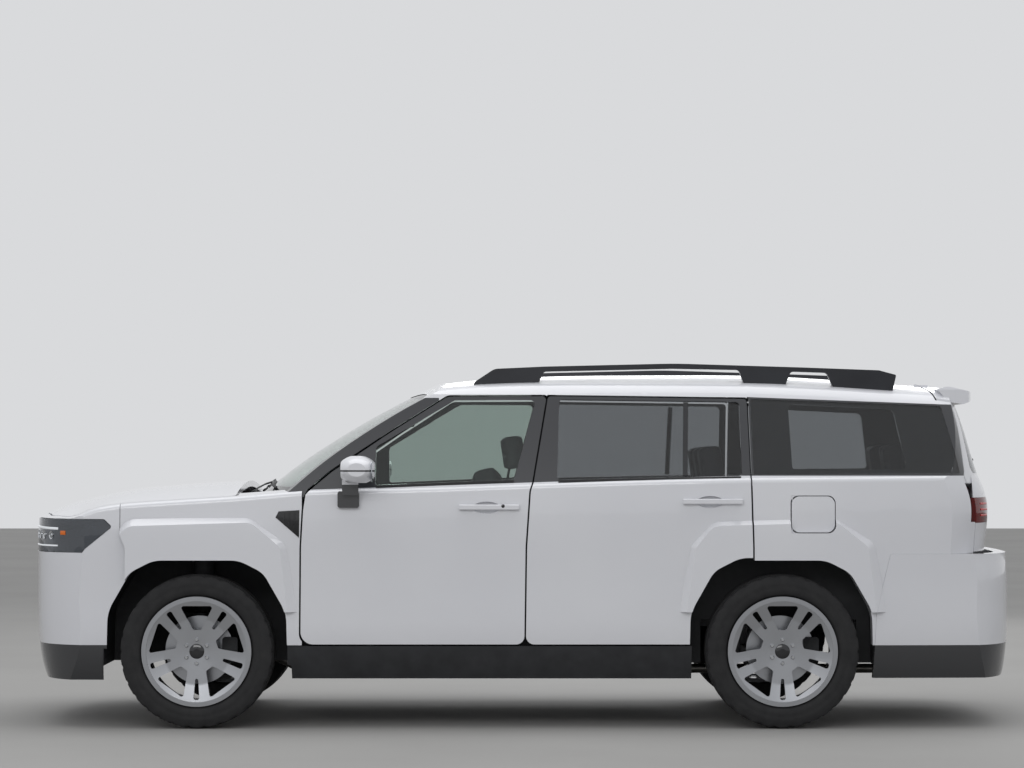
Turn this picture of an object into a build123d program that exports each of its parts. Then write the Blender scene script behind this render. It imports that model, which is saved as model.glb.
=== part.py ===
"""Three-row sport utility vehicle as an assembly of separate pieces, in millimetres.

+X runs to the rear, +Y to the vehicle's right and +Z up.  The origin lies on the floor under the
middle of the vehicle.  Left-hand pieces are drawn and mirrored to make the right-hand ones.
"""
import math
import os

from build123d import *

os.makedirs("parts", exist_ok=True)

# Overall sizes
LENGTH = 4830.0
HALF_WIDTH = 950.0          # outside the wheel-arch flares
ROOF = 1718.0               # crown of the roof skin
BELT = 1180.0               # height of the belt line at the split between the doors
WHEELBASE = 2815.0
FRONT_OVERHANG = 855.0
FLARE = 24.0                # how far the arch flares stand off the body side
BODY_BOTTOM = 230.0
GLASS_TOP_HALF = 735.0      # half width at the cant rail

# Wheels
TYRE_RADIUS = 370.0
TYRE_WIDTH = 255.0
RIM_RADIUS = 258.0
RIM_WIDTH = 236.0
TRACK_HALF = 806.0
SPOKES = 5
STUB_RADIUS = 32.0
BEARING_GAP = 0.08
DISC_RADIUS = 165.0
KINGPIN_HALF = 706.0        # steering axis, inside the rim
BALL_RISE = 150.0           # ball joints above and below the axle
LINER_GAP = 14.0            # arch opening to the liner, clear of the steered tyre
LINER_THICK = 4.0
REAR_LINER_IN = 652.0
FRONT_LINER_IN = 464.0
LINER_OUT = 890.0
REAR_LINER_OUT = 820.0

# Panels and gaps
HOOD_HINGE_Y = 610.0
HOOD_PIN = 6.0
FUEL_PIN = 2.2
FOLD_DEPTH = 3.3            # relief in the body side where the fuel flap folds back
GAP = 8.0                   # shut line round every opening panel
SKIN = 6.0
DOOR_THICK = 78.0
FRAME_THICK = 45.0
DOOR_INSET = 28.0           # inner structure set back from the skin's edge
PILLAR_OUT = 824.0          # outer face of the inner door pillars
PILLAR_IN = 780.0
QUARTER_THICK = 88.0
NOSE_THICK = 30.0
GATE_THICK = 60.0
BUMPER_TOP = 838.0
SILL_TOP = 432.0
GRILLE_BARS = 7
RAIL_HALF = 622.0
HOOD_HINGE_X = FRONT_OVERHANG - LENGTH / 2 + 205
HOOD_HINGE_Z = 1112.0
SEAL = 0.4
GLASS = 5.0

# Doors
DOOR_FRONT = 511.0          # front axle to the front door's leading shut line
FRONT_DOOR = 1091.0
DOOR_BOTTOM = 400.0
HINGE_BACK = 64.0           # leading shut line to the hinge axis
HINGE_DEPTH = 28.0
HINGE_PIN = 4.5
HINGE_BARREL = 9.5
HINGE_HEIGHTS = (560.0, 960.0)
HANDLE_LENGTH = 285.0

NOSE = -LENGTH / 2
TAIL = LENGTH / 2
FRONT = NOSE + FRONT_OVERHANG
REAR = FRONT + WHEELBASE
A_LINE = FRONT + DOOR_FRONT
B_LINE = A_LINE + FRONT_DOOR
C_LINE = REAR - 149.0
SIDE = HALF_WIDTH - FLARE
HINGE_Y = SIDE - HINGE_DEPTH
FRONT_HINGE_X = A_LINE + HINGE_BACK
REAR_HINGE_X = B_LINE + HINGE_BACK
FAR = 1200.0


# ---------------------------------------------------------------- outlines and prisms

def rounded_edges(corners, place):
    """Edges of a closed outline whose corners are (u, v, radius)."""
    count = len(corners)
    joints = []
    for index, (u, v, radius) in enumerate(corners):
        here = Vector(u, v)
        last = corners[index - 1]
        after = corners[(index + 1) % count]
        back = Vector(last[0], last[1]) - here
        ahead = Vector(after[0], after[1]) - here
        if radius == 0:
            joints.append((here, None, here))
            continue
        half = math.radians(back.get_angle(ahead)) / 2
        reach = min(radius / math.tan(half), 0.48 * back.length, 0.48 * ahead.length)
        radius = reach * math.tan(half)
        middle = (back.normalized() + ahead.normalized()).normalized()
        centre = radius / math.sin(half)
        joints.append((here + back.normalized() * reach, here + middle * (centre - radius),
                       here + ahead.normalized() * reach))
    edges = []
    for index, (start, bulge, end) in enumerate(joints):
        if bulge is not None:
            edges.append(ThreePointArc(place(start), place(bulge), place(end)))
        following = joints[(index + 1) % count][0]
        if (following - end).length > 0.01:
            edges.append(Line(place(end), place(following)))
    return edges


def filled(corners, place):
    full = [(*corner, 0)[:3] for corner in corners]
    return Face(Wire(rounded_edges(full, place)))


def side_prism(corners, y_from, y_to):
    """Prism of an outline in X and Z, standing between two Y values."""
    face = filled(corners, lambda p: Vector(p.X, y_from, p.Y))
    return extrude(face, amount=abs(y_to - y_from), dir=(0, math.copysign(1, y_to - y_from), 0))


def plan_prism(corners, z_from, z_to):
    """Prism of an outline in X and Y."""
    face = filled(corners, lambda p: Vector(p.X, p.Y, z_from))
    return extrude(face, amount=abs(z_to - z_from), dir=(0, 0, math.copysign(1, z_to - z_from)))


def front_prism(corners, x_from, x_to):
    """Prism of an outline in Y and Z."""
    face = filled(corners, lambda p: Vector(x_from, p.X, p.Y))
    return extrude(face, amount=abs(x_to - x_from), dir=(math.copysign(1, x_to - x_from), 0, 0))


def block(x_from, x_to, y_from, y_to, z_from, z_to):
    size = (abs(x_to - x_from), abs(y_to - y_from), abs(z_to - z_from))
    middle = ((x_from + x_to) / 2, (y_from + y_to) / 2, (z_from + z_to) / 2)
    return Pos(*middle) * Box(*size)


def rod(start, end, radius):
    """Round bar from one point to another."""
    start, end = Vector(*start), Vector(*end)
    plane = Plane(origin=start, z_dir=end - start)
    return extrude(plane * Circle(radius), amount=(end - start).length)


def twin(shape):
    """The right-hand copy of a left-hand piece."""
    return mirror(shape, about=Plane.XZ)


def both(shape):
    return [*shape.solids(), *twin(shape).solids()]


def biggest(shape):
    return max(shape.solids(), key=lambda solid: solid.volume)


def save(name, *shapes):
    solids = []
    for shape in shapes:
        pieces = shape if isinstance(shape, list) else shape.solids()
        solids.extend(pieces)
    made = solids[0] if len(solids) == 1 else Compound(children=solids)
    export_step(made, f"parts/{name}.step")


def between(x, table):
    """Straight-line reading of a table of (x, value) pairs."""
    if x <= table[0][0]:
        return table[0][1]
    for (x0, v0), (x1, v1) in zip(table, table[1:]):
        if x <= x1:
            return v0 + (v1 - v0) * (x - x0) / (x1 - x0)
    return table[-1][1]


def up(z):
    """Height of a greenhouse feature drawn for a roof 538 above the belt."""
    return z if z < BELT else BELT + (z - BELT) * (ROOF - BELT) / 538.0


def low(z):
    """Height of a lower-body feature drawn for a belt at 1180."""
    return z * BELT / 1180.0


# ---------------------------------------------------------------- master surfaces

WIDTHS = [(NOSE - 30, 884), (NOSE + 250, 900), (NOSE + 420, 906), (FRONT, 915), (A_LINE, 926),
          (REAR, 926), (TAIL - 500, 918), (TAIL - 250, 900), (TAIL + 30, 880)]
BELTS = [(NOSE - 30, 975), (NOSE + 90, 990), (NOSE + 251, 1012), (NOSE + 330, 1048),
         (NOSE + 440, 1074), (FRONT - 229, 1091), (FRONT + 237, 1121), (A_LINE, 1144),
         (B_LINE, 1178), (C_LINE, 1207), (TAIL - 300, 1218), (TAIL + 30, 1220)]
CROWNS = [(NOSE - 30, 980), (NOSE + 8, 998), (NOSE + 40, 1021), (NOSE + 87, 1047),
          (NOSE + 166, 1078), (NOSE + 315, 1112), (NOSE + 450, 1140), (FRONT - 166, 1165),
          (FRONT + 176, 1184), (A_LINE, 1190), (B_LINE, 1192), (REAR, 1216), (TAIL + 30, 1222)]
ROOFS = [(FRONT + 150, 1330), (FRONT + 600, 1520), (A_LINE + 450, 1630), (A_LINE + 660, 1670),
         (A_LINE + 780, 1690), (B_LINE - 40, 1706), (B_LINE + 357, 1716), (B_LINE + 858, 1718),
         (REAR + 150, 1704), (REAR + 497, 1679), (TAIL - 420, 1662), (TAIL - 130, 1640)]
CANTS = [(A_LINE + 300, 1607), (B_LINE - 200, 1611), (B_LINE + 228, 1606), (B_LINE + 693, 1599),
         (REAR - 147, 1592), (REAR + 443, 1574), (TAIL - 368, 1556), (TAIL - 130, 1548)]
SIDE_BULGE = [(62, 0.0), (15, 0.19), (9, 0.47), (2, 0.74), (0, 0.9), (2, 1.0)]
SHOULDER_TURN = 26.0
WAISTS = [(FRONT + 150, 872), (A_LINE, 890), (REAR, 893), (TAIL - 400, 876), (TAIL, 846)]
CANT_HALVES = [(FRONT + 150, -10), (A_LINE + 300, -6), (B_LINE, 0), (REAR, -2), (TAIL - 400, -22),
               (TAIL, -48)]
ROOF_BAND = [(1.0, 0.0), (0.965, 0.30), (0.87, 0.60), (0.76, 0.78), (0.45, 0.94), (0.0, 1.0)]


def belt(x):
    return low(between(x, BELTS))


def half_width(x):
    return between(x, WIDTHS) + SIDE - 926.0


def shared_spline(points, parameters):
    """Spline whose knots match those of its neighbours, so that a loft stays light."""
    return Edge.make_spline([Vector(*point) for point in points], parameters=parameters)


def section_face(x, half_edges, foot):
    """Closed cross-section at x from its right-hand edges, each given as (points, parameters)."""
    edges = []
    for sign in (1, -1):
        for points, parameters in half_edges:
            spots = [Vector(x, sign * y, z) for y, z in points]
            if parameters is None:
                edges.append(Edge.make_three_point_arc(*spots))
            else:
                edges.append(shared_spline(spots, parameters))
    (y, z) = foot
    edges.append(Edge.make_line(Vector(x, y, z), Vector(x, -y, z)))
    return Face(Wire(edges))


def lower_section(x, inset):
    """Cross-section of the lower body: bulged sides, rounded shoulders and a crowned top."""
    width = half_width(x) - inset
    shoulder = belt(x) - 3 - inset
    crown = low(between(x, CROWNS)) - inset
    bottom = BODY_BOTTOM - inset
    turn = shoulder - SHOULDER_TURN
    side = [(width - dy, bottom + part * (turn - bottom)) for dy, part in SIDE_BULGE]
    arc = [side[-1], (width - 0.33 * SHOULDER_TURN, shoulder - 0.31 * SHOULDER_TURN),
           (width - 1.1 * SHOULDER_TURN, shoulder)]
    reach = width - 1.1 * SHOULDER_TURN
    lid = [(reach, shoulder), (0.7 * reach, shoulder + 0.51 * (crown - shoulder)), (0, crown)]
    parameters = [part for _, part in SIDE_BULGE]
    return section_face(x, [(side, parameters), (arc, None), (lid, None)], side[0])


LOWER_STATIONS = [NOSE - 25, NOSE + 20, NOSE + 90, NOSE + 165, NOSE + 250, NOSE + 320, NOSE + 440,
                  FRONT - 230, FRONT - 40, FRONT + 220, A_LINE, A_LINE + 380, B_LINE, C_LINE,
                  REAR + 420, TAIL - 290, TAIL + 25]


def lower_body(inset):
    return loft([lower_section(x, inset) for x in LOWER_STATIONS])


def greenhouse_section(x, inset):
    """Cross-section of the cabin above the belt: leaning glass, cant rail and crowned roof."""
    cant = up(between(x, CANTS)) - 0.4 * inset
    crown = up(between(x, ROOFS)) - inset
    waist_z = belt(x) + 10
    waist = between(x, WAISTS) + SIDE - 926.0 - inset
    top = GLASS_TOP_HALF + between(x, CANT_HALVES) - inset
    lean = (waist - top) / (cant - waist_z)
    foot_z = belt(x) - 40 - inset
    foot = waist + lean * (waist_z - foot_z)
    bulge = ((foot + top) / 2 + 6, (foot_z + cant) / 2)
    band = [(top * part, cant + rise * (crown - cant)) for part, rise in ROOF_BAND]
    parameters = [1 - part for part, _ in ROOF_BAND]
    side = [(foot, foot_z), bulge, (top, cant)]
    return section_face(x, [(side, None), (band, parameters)], side[0])


GREEN_STATIONS = [FRONT + 180, FRONT + 600, A_LINE + 450, A_LINE + 700, B_LINE - 40, B_LINE + 360,
                  B_LINE + 860, REAR + 150, REAR + 497, TAIL - 420, TAIL - 150]
NOSE_SWEEP = [(0, 0), (350, 14), (600, 50), (740, 104), (830, 184), (900, 305), (950, 460), (990, 650)]
TAIL_SWEEP = [(0, 0), (400, 12), (650, 46), (800, 116), (880, 200), (940, 340), (990, 560)]


def swept_curve(sweep, inset):
    """Points (y, setback) of a plan curve moved inwards along its normals."""
    moved = []
    for index, (y, back) in enumerate(sweep):
        y0, b0 = sweep[max(index - 1, 0)]
        y1, b1 = sweep[min(index + 1, len(sweep) - 1)]
        run = math.hypot(y1 - y0, b1 - b0)
        slope = 0 if index == 0 else (b1 - b0) / run
        moved.append((y - inset * slope, back + inset * math.sqrt(1 - slope * slope)))
    return moved


def end_section(z, x_end, sweep, inset, toward):
    """Plan outline at one height, open towards the middle of the vehicle by a long box."""
    half = [(y, x_end + toward * back) for y, back in swept_curve(sweep, inset)]
    curve = [Vector(x, -y, z) for y, x in reversed(half)] + [Vector(x, y, z) for y, x in half[1:]]
    reach = sweep[-1][0]
    marks = [0.5 - y / reach / 2 for y, _ in reversed(sweep)] + [0.5 + y / reach / 2 for y, _ in sweep[1:]]
    far = toward * 1.1 * LENGTH + x_end
    shoulder = half[-1][1]
    line = Polyline(curve[-1], Vector(shoulder, FAR, z), Vector(far, FAR, z), Vector(far, -FAR, z),
                    Vector(shoulder, -FAR, z), curve[0])
    return Face(Wire([shared_spline(curve, marks), *line.edges()]))


NOSE_PROFILE = [(200, 60), (320, 16), (500, 2), (680, 0), (850, 0), (1000, 4), (1300, 18)]
TAIL_PROFILE = [(200, 125), (600, 118), (856, 112), (948, 98), (1058, 92), (1144, 114),
                (1210, 128), (1320, 160)]
BUMPER_PROFILE = [(200, 60), (300, 14), (450, 0), (700, 0), (850, 6)]
GATE_PROFILE = [(1100, 105), (1217, 144), (1315, 175), (1443, 212), (1559, 254), (1720, 330)]


def levels(table, count):
    """Evenly spaced readings of a table, so that a loft through them doesn't overshoot."""
    start, end = table[0][0], table[-1][0]
    heights = [start + (end - start) * index / (count - 1) for index in range(count)]
    return [(height, between(height, table)) for height in heights]


def nose_shape(inset):
    return loft([end_section(low(z), NOSE + back, NOSE_SWEEP, inset, 1)
                 for z, back in levels(NOSE_PROFILE, 7)])


def tail_shape(profile, inset, rise=low):
    return loft([end_section(rise(z), TAIL - back, TAIL_SWEEP, inset, -1)
                 for z, back in levels(profile, 8)])


SCREEN_RADIUS = 2270.0
SCREEN_PROFILE = [(1060, 120), (1150, 280), (1269, 433), (1364, 574), (1419, 661), (1510, 816),
                  (1615, 1017), (1670, 1145), (1760, 1380)]


def screen_shape(inset):
    """Everything behind the windscreen's surface, which is bowed in plan and side view."""
    sections = []
    sag = 960.0 ** 2 / (2 * SCREEN_RADIUS)
    for z, back in levels(SCREEN_PROFILE, 8):
        x = FRONT + back + inset * 1.85
        height = up(z)
        arc = ThreePointArc(Vector(x + sag, -960, height), Vector(x, 0, height),
                            Vector(x + sag, 960, height))
        far = FRONT + 4800
        line = Polyline(Vector(x + sag, 960, height), Vector(far, 960, height),
                        Vector(far, -960, height), Vector(x + sag, -960, height))
        sections.append(Face(Wire([arc, *line.edges()])))
    return loft(sections)


FORE = block(NOSE - 100, A_LINE + 60, -1000, 1000, 10, 1290)
AFT = block(C_LINE - 460, TAIL + 100, -1000, 1000, 10, 1290)
MIDDLE = block(A_LINE - 60, C_LINE + 60, -1000, 1000, 10, 1290)
CABIN = block(FRONT - 60, TAIL + 50, -1000, 1000, 1065, 1755)


def greenhouse(inset):
    sides = loft([greenhouse_section(x, inset) for x in GREEN_STATIONS])
    ends = (CABIN & screen_shape(inset)) & tail_shape(GATE_PROFILE, inset, up)
    return sides & ends


INSETS = (0, SKIN, NOSE_THICK, GATE_THICK, DOOR_THICK, QUARTER_THICK)
BODIES = {inset: lower_body(inset) for inset in INSETS}
MID = {inset: BODIES[inset] & MIDDLE for inset in (0, SKIN, DOOR_THICK)}
FRONT_END = {inset: BODIES[inset] & (FORE & nose_shape(inset)) for inset in (0, SKIN, NOSE_THICK, GATE_THICK)}
REAR_END = {inset: BODIES[inset] & (AFT & tail_shape(TAIL_PROFILE, inset))
            for inset in (0, SKIN, GATE_THICK, QUARTER_THICK)}
UPPER = {inset: greenhouse(inset) for inset in (0, SKIN, 2 * SKIN, FRAME_THICK)}
PILLAR_SEAT = greenhouse(FRAME_THICK + 10)
PILLAR_BACK = greenhouse(FRAME_THICK + 10 + PILLAR_OUT - PILLAR_IN)
CABIN_HALF = SIDE - DOOR_THICK

# ---------------------------------------------------------------- outlines on the body side

def arch_corners(axle, grow=0.0):
    """Squared wheel opening, seen from the side."""
    g = grow
    return [(axle - 442 - g, 60), (axle - 430 - g, 560, 200), (axle - 322 - g * 0.7, 748 + g * 0.7, 120),
            (axle - 205, 808 + g, 160), (axle + 205, 808 + g, 160),
            (axle + 322 + g * 0.7, 748 + g * 0.7, 120), (axle + 430 + g, 560, 200), (axle + 442 + g, 60)]


def front_door_corners(edge):
    """Front door outline, moved outwards by edge from the middle of its shut line."""
    e = edge
    return [(A_LINE - 13 - e, low(870), 300), (A_LINE - 3 - e, low(1049)), (A_LINE + 8 - e, low(1122)),
            (A_LINE + 25 - e, low(1146) + e), (A_LINE + 129 - e, up(1234) + e),
            (A_LINE + 413, up(1426) + e * 1.2), (A_LINE + 690, up(1601) + e, 60),
            (B_LINE + 85 + e, up(1603) + e, 18), (B_LINE + 14 + e, low(1182)),
            (B_LINE + e, low(1141), 100), (B_LINE - 18 + e, low(870), 300),
            (B_LINE - 24 + e, DOOR_BOTTOM - e, 40), (A_LINE - 16 - e, DOOR_BOTTOM - e, 60)]


def rear_door_corners(edge):
    e = edge
    return [(B_LINE - 24 - e, DOOR_BOTTOM - e, 40), (B_LINE - 18 - e, low(870), 300),
            (B_LINE - e, low(1141), 100), (B_LINE + 14 - e, low(1182)),
            (B_LINE + 85 - e, up(1603) + e, 14), (C_LINE - 6 + e, up(1590) + e, 18),
            (C_LINE + e, low(1209)), (C_LINE + 9 + e, low(870)),
            (C_LINE + 9 + e, DOOR_BOTTOM - e)]


def front_glass_corners(edge):
    e = edge
    return [(A_LINE + 346 - e, low(1168) - e, 14), (B_LINE - 76 + e, up(1196) - e, 18),
            (B_LINE + 28 + e, up(1580) + e, 20), (A_LINE + 731 - e, up(1582) + e, 40),
            (A_LINE + 347 - e, up(1353) + e, 20)]


def rear_glass_corners(edge):
    e = edge
    return [(B_LINE + 131 - e, up(1194) - e, 18), (B_LINE + 143 - e, up(1584) + e, 20),
            (C_LINE - 46 + e, up(1572) + e, 20), (C_LINE - 44 + e, up(1213) - e, 18)]


def quarter_panel_glass(edge):
    e = edge
    return [(C_LINE + 14 - e, up(1220) - e, 6), (C_LINE + 8 - e, up(1586) + e, 10),
            (TAIL - 372 + e, up(1552) + e, 10), (TAIL - 296 + e, up(1226) - e, 6)]


def quarter_opening():
    return [(REAR + 52, up(1240), 20), (REAR + 42, up(1560), 30), (REAR + 556, up(1535), 30),
            (REAR + 606, up(1245), 20)]


def left(corners, inner=-420.0):
    return side_prism(corners, -FAR, inner)


def flare(axle, front_run, rear_run):
    """Raised arch lip: a wide outline on the body tapering to a narrower one outside."""
    outer = [(axle - front_run - 60, 560), (axle - front_run - 8, 880, 60), (axle - 330, 1006, 90),
             (axle + 250, 1018, 90), (axle + rear_run + 6, 895, 60), (axle + rear_run + 60, 560)]
    inner = [(axle - front_run - 20, 560), (axle - front_run + 22, 868, 50), (axle - 335, 972, 80),
             (axle + 262, 990, 80), (axle + rear_run - 30, 872, 50), (axle + rear_run + 8, 560)]
    inner_face = filled(outer, lambda p: Vector(p.X, -(SIDE - 14), low(p.Y)))
    outer_face = filled(inner, lambda p: Vector(p.X, -HALF_WIDTH, low(p.Y)))
    raised = loft([inner_face, outer_face])
    return raised - left(arch_corners(axle))


FRONT_FLARE = flare(FRONT, 440, 430)
REAR_FLARE = flare(REAR, 440, 440)

# ---------------------------------------------------------------- doors

def wall(masters, outer, inner, *zones):
    """Wall between two depths of a master body, inside every given zone."""
    shape = masters[outer]
    for zone in zones:
        shape = shape & zone
    return shape - masters[inner]


def hinge_pocket(x_edge, x_axis, z):
    """Room in the door for the body's hinge arms."""
    return block(x_edge - 20, x_axis + 15, -HINGE_Y - HINGE_BARREL - 1, -600, z - 34, z + 34)


def door_barrel(x_axis, z):
    barrel = Pos(x_axis, -HINGE_Y, z) * Cylinder(HINGE_BARREL, 28)
    web = block(x_axis, x_axis + 30, -HINGE_Y - 6, -HINGE_Y + 6, z - 14, z + 14)
    bore = Pos(x_axis, -HINGE_Y, z) * Cylinder(HINGE_PIN + BEARING_GAP, 60)
    return barrel + web - bore


def hinge_arms(x_axis, z):
    """Body half of a hinge: two ears, the pin and the arms back to the pillar."""
    shape = Pos(x_axis, -HINGE_Y, z) * Cylinder(HINGE_PIN, 52)
    for side in (-1, 1):
        middle = z + side * 20.5
        shape += Pos(x_axis, -HINGE_Y, middle) * Cylinder(HINGE_BARREL, 11)
        shape += block(x_axis - 9, x_axis + 9, -HINGE_Y, -PILLAR_OUT + 12, middle - 5.5, middle + 5.5)
    return shape


def handle(x_middle, z):
    """Pull bar standing off the door across a dished recess."""
    y = -half_width(x_middle)
    dish = Pos(x_middle - 12, y, z - 2) * scale(Sphere(1), by=(66, 24, 29))
    bar = block(x_middle - HANDLE_LENGTH / 2, x_middle + HANDLE_LENGTH / 2, y - 21, y - 8, z - 13, z + 13)
    bar = fillet(bar.edges().filter_by(Axis.X), 5)
    for end in (-1, 1):
        foot = x_middle + end * (HANDLE_LENGTH / 2 - 20)
        bar += block(foot - 16, foot + 16, y - 14, y + 12, z - 9, z + 9)
    return bar, dish


def door(maker, glass, x_edge, x_axis, grip):
    """Thin outer skin to the shut line, thick structure set back from it, window cut."""
    full = maker(-GAP / 2)
    inner = maker(-GAP / 2 - DOOR_INSET)
    shelf = block(-2 * FAR, 2 * FAR, -CABIN_HALF, 0, BELT - 190, BELT + 80)
    hinge_side = block(x_edge - 60, x_axis - 6, -FAR, -500, DOOR_BOTTOM - 50, BELT + 60)
    skin = wall(MID, 0, SKIN, left(full, -600)) - shelf
    core = wall(MID, SKIN, DOOR_THICK, left(inner, -600)) - hinge_side - shelf
    frame_skin = wall(UPPER, 0, SKIN, left(full))
    frame_core = wall(UPPER, SKIN, FRAME_THICK, left(inner)) - hinge_side
    bar, dish = handle(*grip)
    shape = (skin + core - dish) + bar
    shape = shape + (frame_skin + frame_core - left(glass(0)))
    for z in HINGE_HEIGHTS:
        shape = shape - hinge_pocket(x_edge, x_axis, z) + door_barrel(x_axis, z)
    return shape


def front_door():
    shape = door(front_door_corners, front_glass_corners, A_LINE - 12, FRONT_HINGE_X,
                 (B_LINE - 197, low(1063)))
    return biggest(shape)


def rear_door():
    shape = door(rear_door_corners, rear_glass_corners, B_LINE - 20, REAR_HINGE_X,
                 (C_LINE - 187, low(1090)))
    shape += REAR_FLARE & left(rear_door_corners(-GAP / 2), -500)
    return biggest(shape - left(arch_corners(REAR, 12), -500))


def door_pane(glass):
    return biggest(wall(UPPER, SKIN, 2 * SKIN, left(glass(-SEAL))))


def door_mirror():
    """Shell, arm and the foot that stands on the door."""
    x, z = A_LINE + 267, low(1243)
    y = -SIDE - 112
    shell = Pos(x, y, z) * scale(Sphere(1), by=(94, 118, 70))
    shell &= block(x - 78, x + 84, y - 105, y + 100, z - 62, z + 66)
    foot = block(x - 100, x + 4, -SIDE - 24, -SIDE + 30, low(1060), low(1140))
    foot = fillet(foot.edges().filter_by(Axis.Y), 12)
    arm = block(x - 76, x + 2, -SIDE - 66, -SIDE - 8, low(1122), low(1196))
    return biggest(shell + foot + arm - MID[0] - UPPER[0])


# ---------------------------------------------------------------- fixed body

def gate_zone(grow):
    """Room taken by the tailgate, wider by grow on every side."""
    g = grow
    half = [(790, 846), (812, 1150), (815, 1210), (800, 1235), (694, 1556), (640, 1745)]
    port = [(-(y + g), up(z) - (g if z == 846 else 0)) for y, z in half]
    starboard = [(-y, z) for y, z in reversed(port)]
    rear_view = front_prism(port + starboard, TAIL - 700, TAIL + 100)
    cut = [(TAIL - 445 - g, up(1760)), (TAIL - 445 - g, up(1655)), (TAIL - 405 - g, up(1625)),
           (TAIL - 375 - g, up(1555)), (TAIL - 420 - g, up(1480)), (TAIL - 380 - g, 830 - g),
           (TAIL + 90, 830 - g), (TAIL + 90, up(1760))]
    return rear_view & side_prism(cut, -FAR, FAR)


GATE_OPENING = gate_zone(GAP)
SCREEN_FOOT = low(1122)
POST_FOOT = low(1112)


def screen_opening(edge, depth):
    """Space between the windscreen pillars, ahead of the given depth."""
    zone = loft([greenhouse_section(x, edge) for x in GREEN_STATIONS])
    zone &= block(FRONT + 10, A_LINE + 640 - edge + 36, -990, 990, SCREEN_FOOT + edge - 36, ROOF + 20)
    return zone - screen_shape(depth)


def roof_and_pillars():
    """Roof skin with its rails and the windscreen pillars, down to the cowl."""
    zone = CABIN & block(FRONT, TAIL, -980, 980, POST_FOOT, ROOF + 40)
    for maker in (front_door_corners, rear_door_corners):
        opening = left(maker(GAP / 2))
        zone = zone - opening - twin(opening)
    side_cut = left([(C_LINE - 8, 900), (C_LINE - 8, up(1596)), (TAIL - 368, up(1561)), (TAIL, up(1552)),
                     (TAIL, 900)])
    zone = zone - side_cut - twin(side_cut) - GATE_OPENING
    shape = wall(UPPER, 0, FRAME_THICK, zone)
    return biggest(shape - screen_opening(36, FRAME_THICK + 8))


def windscreen():
    return biggest(screen_opening(36 + SEAL, 3 + GLASS) & screen_shape(3))


def rear_quarter():
    """Rear body side: panel, arch flange, pillars and the surround of the fixed window."""
    foot = [(C_LINE + GAP / 2 + 9, DOOR_BOTTOM), (C_LINE + GAP / 2 + 9, low(870)),
            (C_LINE + GAP / 2, low(1209)), (C_LINE + GAP / 2, BELT + 60), (TAIL - 60, BELT + 60),
            (TAIL - 60, DOOR_BOTTOM)]
    bumper_line = bumper_zone(SEAL)
    shelf = block(0, TAIL, -SIDE + QUARTER_THICK, 0, BELT - 190, BELT + 60)
    lower_half = wall(REAR_END, 0, QUARTER_THICK, left(foot, -500)) - shelf - bumper_line
    top = [(C_LINE + GAP / 2, BELT - 30), (C_LINE + GAP / 2 - 5, up(1596) - 2 * SEAL),
           (TAIL - 368, up(1561) - SEAL), (TAIL, up(1552) - SEAL), (TAIL, BELT - 30)]
    upper_half = wall(UPPER, 0, FRAME_THICK, left(top))
    upper_half -= (left(quarter_panel_glass(SEAL)) & UPPER[0]) - UPPER[2 * SKIN]
    upper_half -= left(quarter_opening())
    shape = (lower_half - GATE_OPENING) + (upper_half - GATE_OPENING)
    shape += (REAR_FLARE & left(foot, -500)) - bumper_line
    shape = shape - left(arch_corners(REAR)) - left(fuel_corners(GAP / 4), -SIDE + 60)
    shape -= Pos(-GAP / 4, 0, 0) * left(fuel_corners(GAP / 4), -SIDE + 60)
    fold = block(REAR + 40, REAR + 60, -FAR, -SIDE + FOLD_DEPTH, low(938), low(1119))
    shape = shape - fold + Pos(*fuel_hinge()) * Cylinder(FUEL_PIN, 176)
    return biggest(shape)


def fuel_corners(grow):
    g = grow
    return [(REAR + 42 - g, low(940) - g, 38), (REAR + 42 - g, low(1117) + g, 38),
            (REAR + 253 + g, low(1117) + g, 38), (REAR + 253 + g, low(940) - g, 38)]


def fuel_hinge():
    return REAR + 48, -half_width(REAR + 48) + 5.5, low(1028)


def fuel_door():
    """Flap with a barrel on the pin at its front edge."""
    flap = wall(REAR_END, 0, SKIN, left(fuel_corners(-GAP / 4), -500))
    hinge = Pos(*fuel_hinge())
    bore = hinge * Cylinder(FUEL_PIN + BEARING_GAP, 200)
    return biggest(flap + hinge * Cylinder(2 * FUEL_PIN, 118) - bore)


def quarter_window():
    return biggest(wall(UPPER, 0, SKIN, left(quarter_panel_glass(0))))


def wheel_room(axle, inner, outer):
    """Room taken by a pair of wheelhouse liners."""
    room = side_prism(arch_corners(axle, LINER_GAP + LINER_THICK + SEAL), -outer - SEAL, -inner + SEAL)
    return room + twin(room)


FRONT_ROOM = wheel_room(FRONT, FRONT_LINER_IN, LINER_OUT)
REAR_ROOM = wheel_room(REAR, REAR_LINER_IN, REAR_LINER_OUT)


def sill():
    outline = [(FRONT + 436, BODY_BOTTOM + 8), (FRONT + 436, DOOR_BOTTOM - GAP / 2),
               (REAR - 437, DOOR_BOTTOM - GAP / 2), (REAR - 437, BODY_BOTTOM + 8)]
    shape = BODIES[0] & left(outline, -PILLAR_IN)
    lip = block(A_LINE - 46, REAR - 470, -PILLAR_OUT, -PILLAR_IN, DOOR_BOTTOM - 20, SILL_TOP)
    return biggest(shape + lip - FRONT_ROOM - REAR_ROOM)


def hinge_pillar():
    shape = block(A_LINE - 46, A_LINE + 82, -PILLAR_OUT, -PILLAR_IN, SILL_TOP, POST_FOOT - 22)
    for z in HINGE_HEIGHTS:
        shape += hinge_arms(FRONT_HINGE_X, z)
    return biggest(shape)


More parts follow.
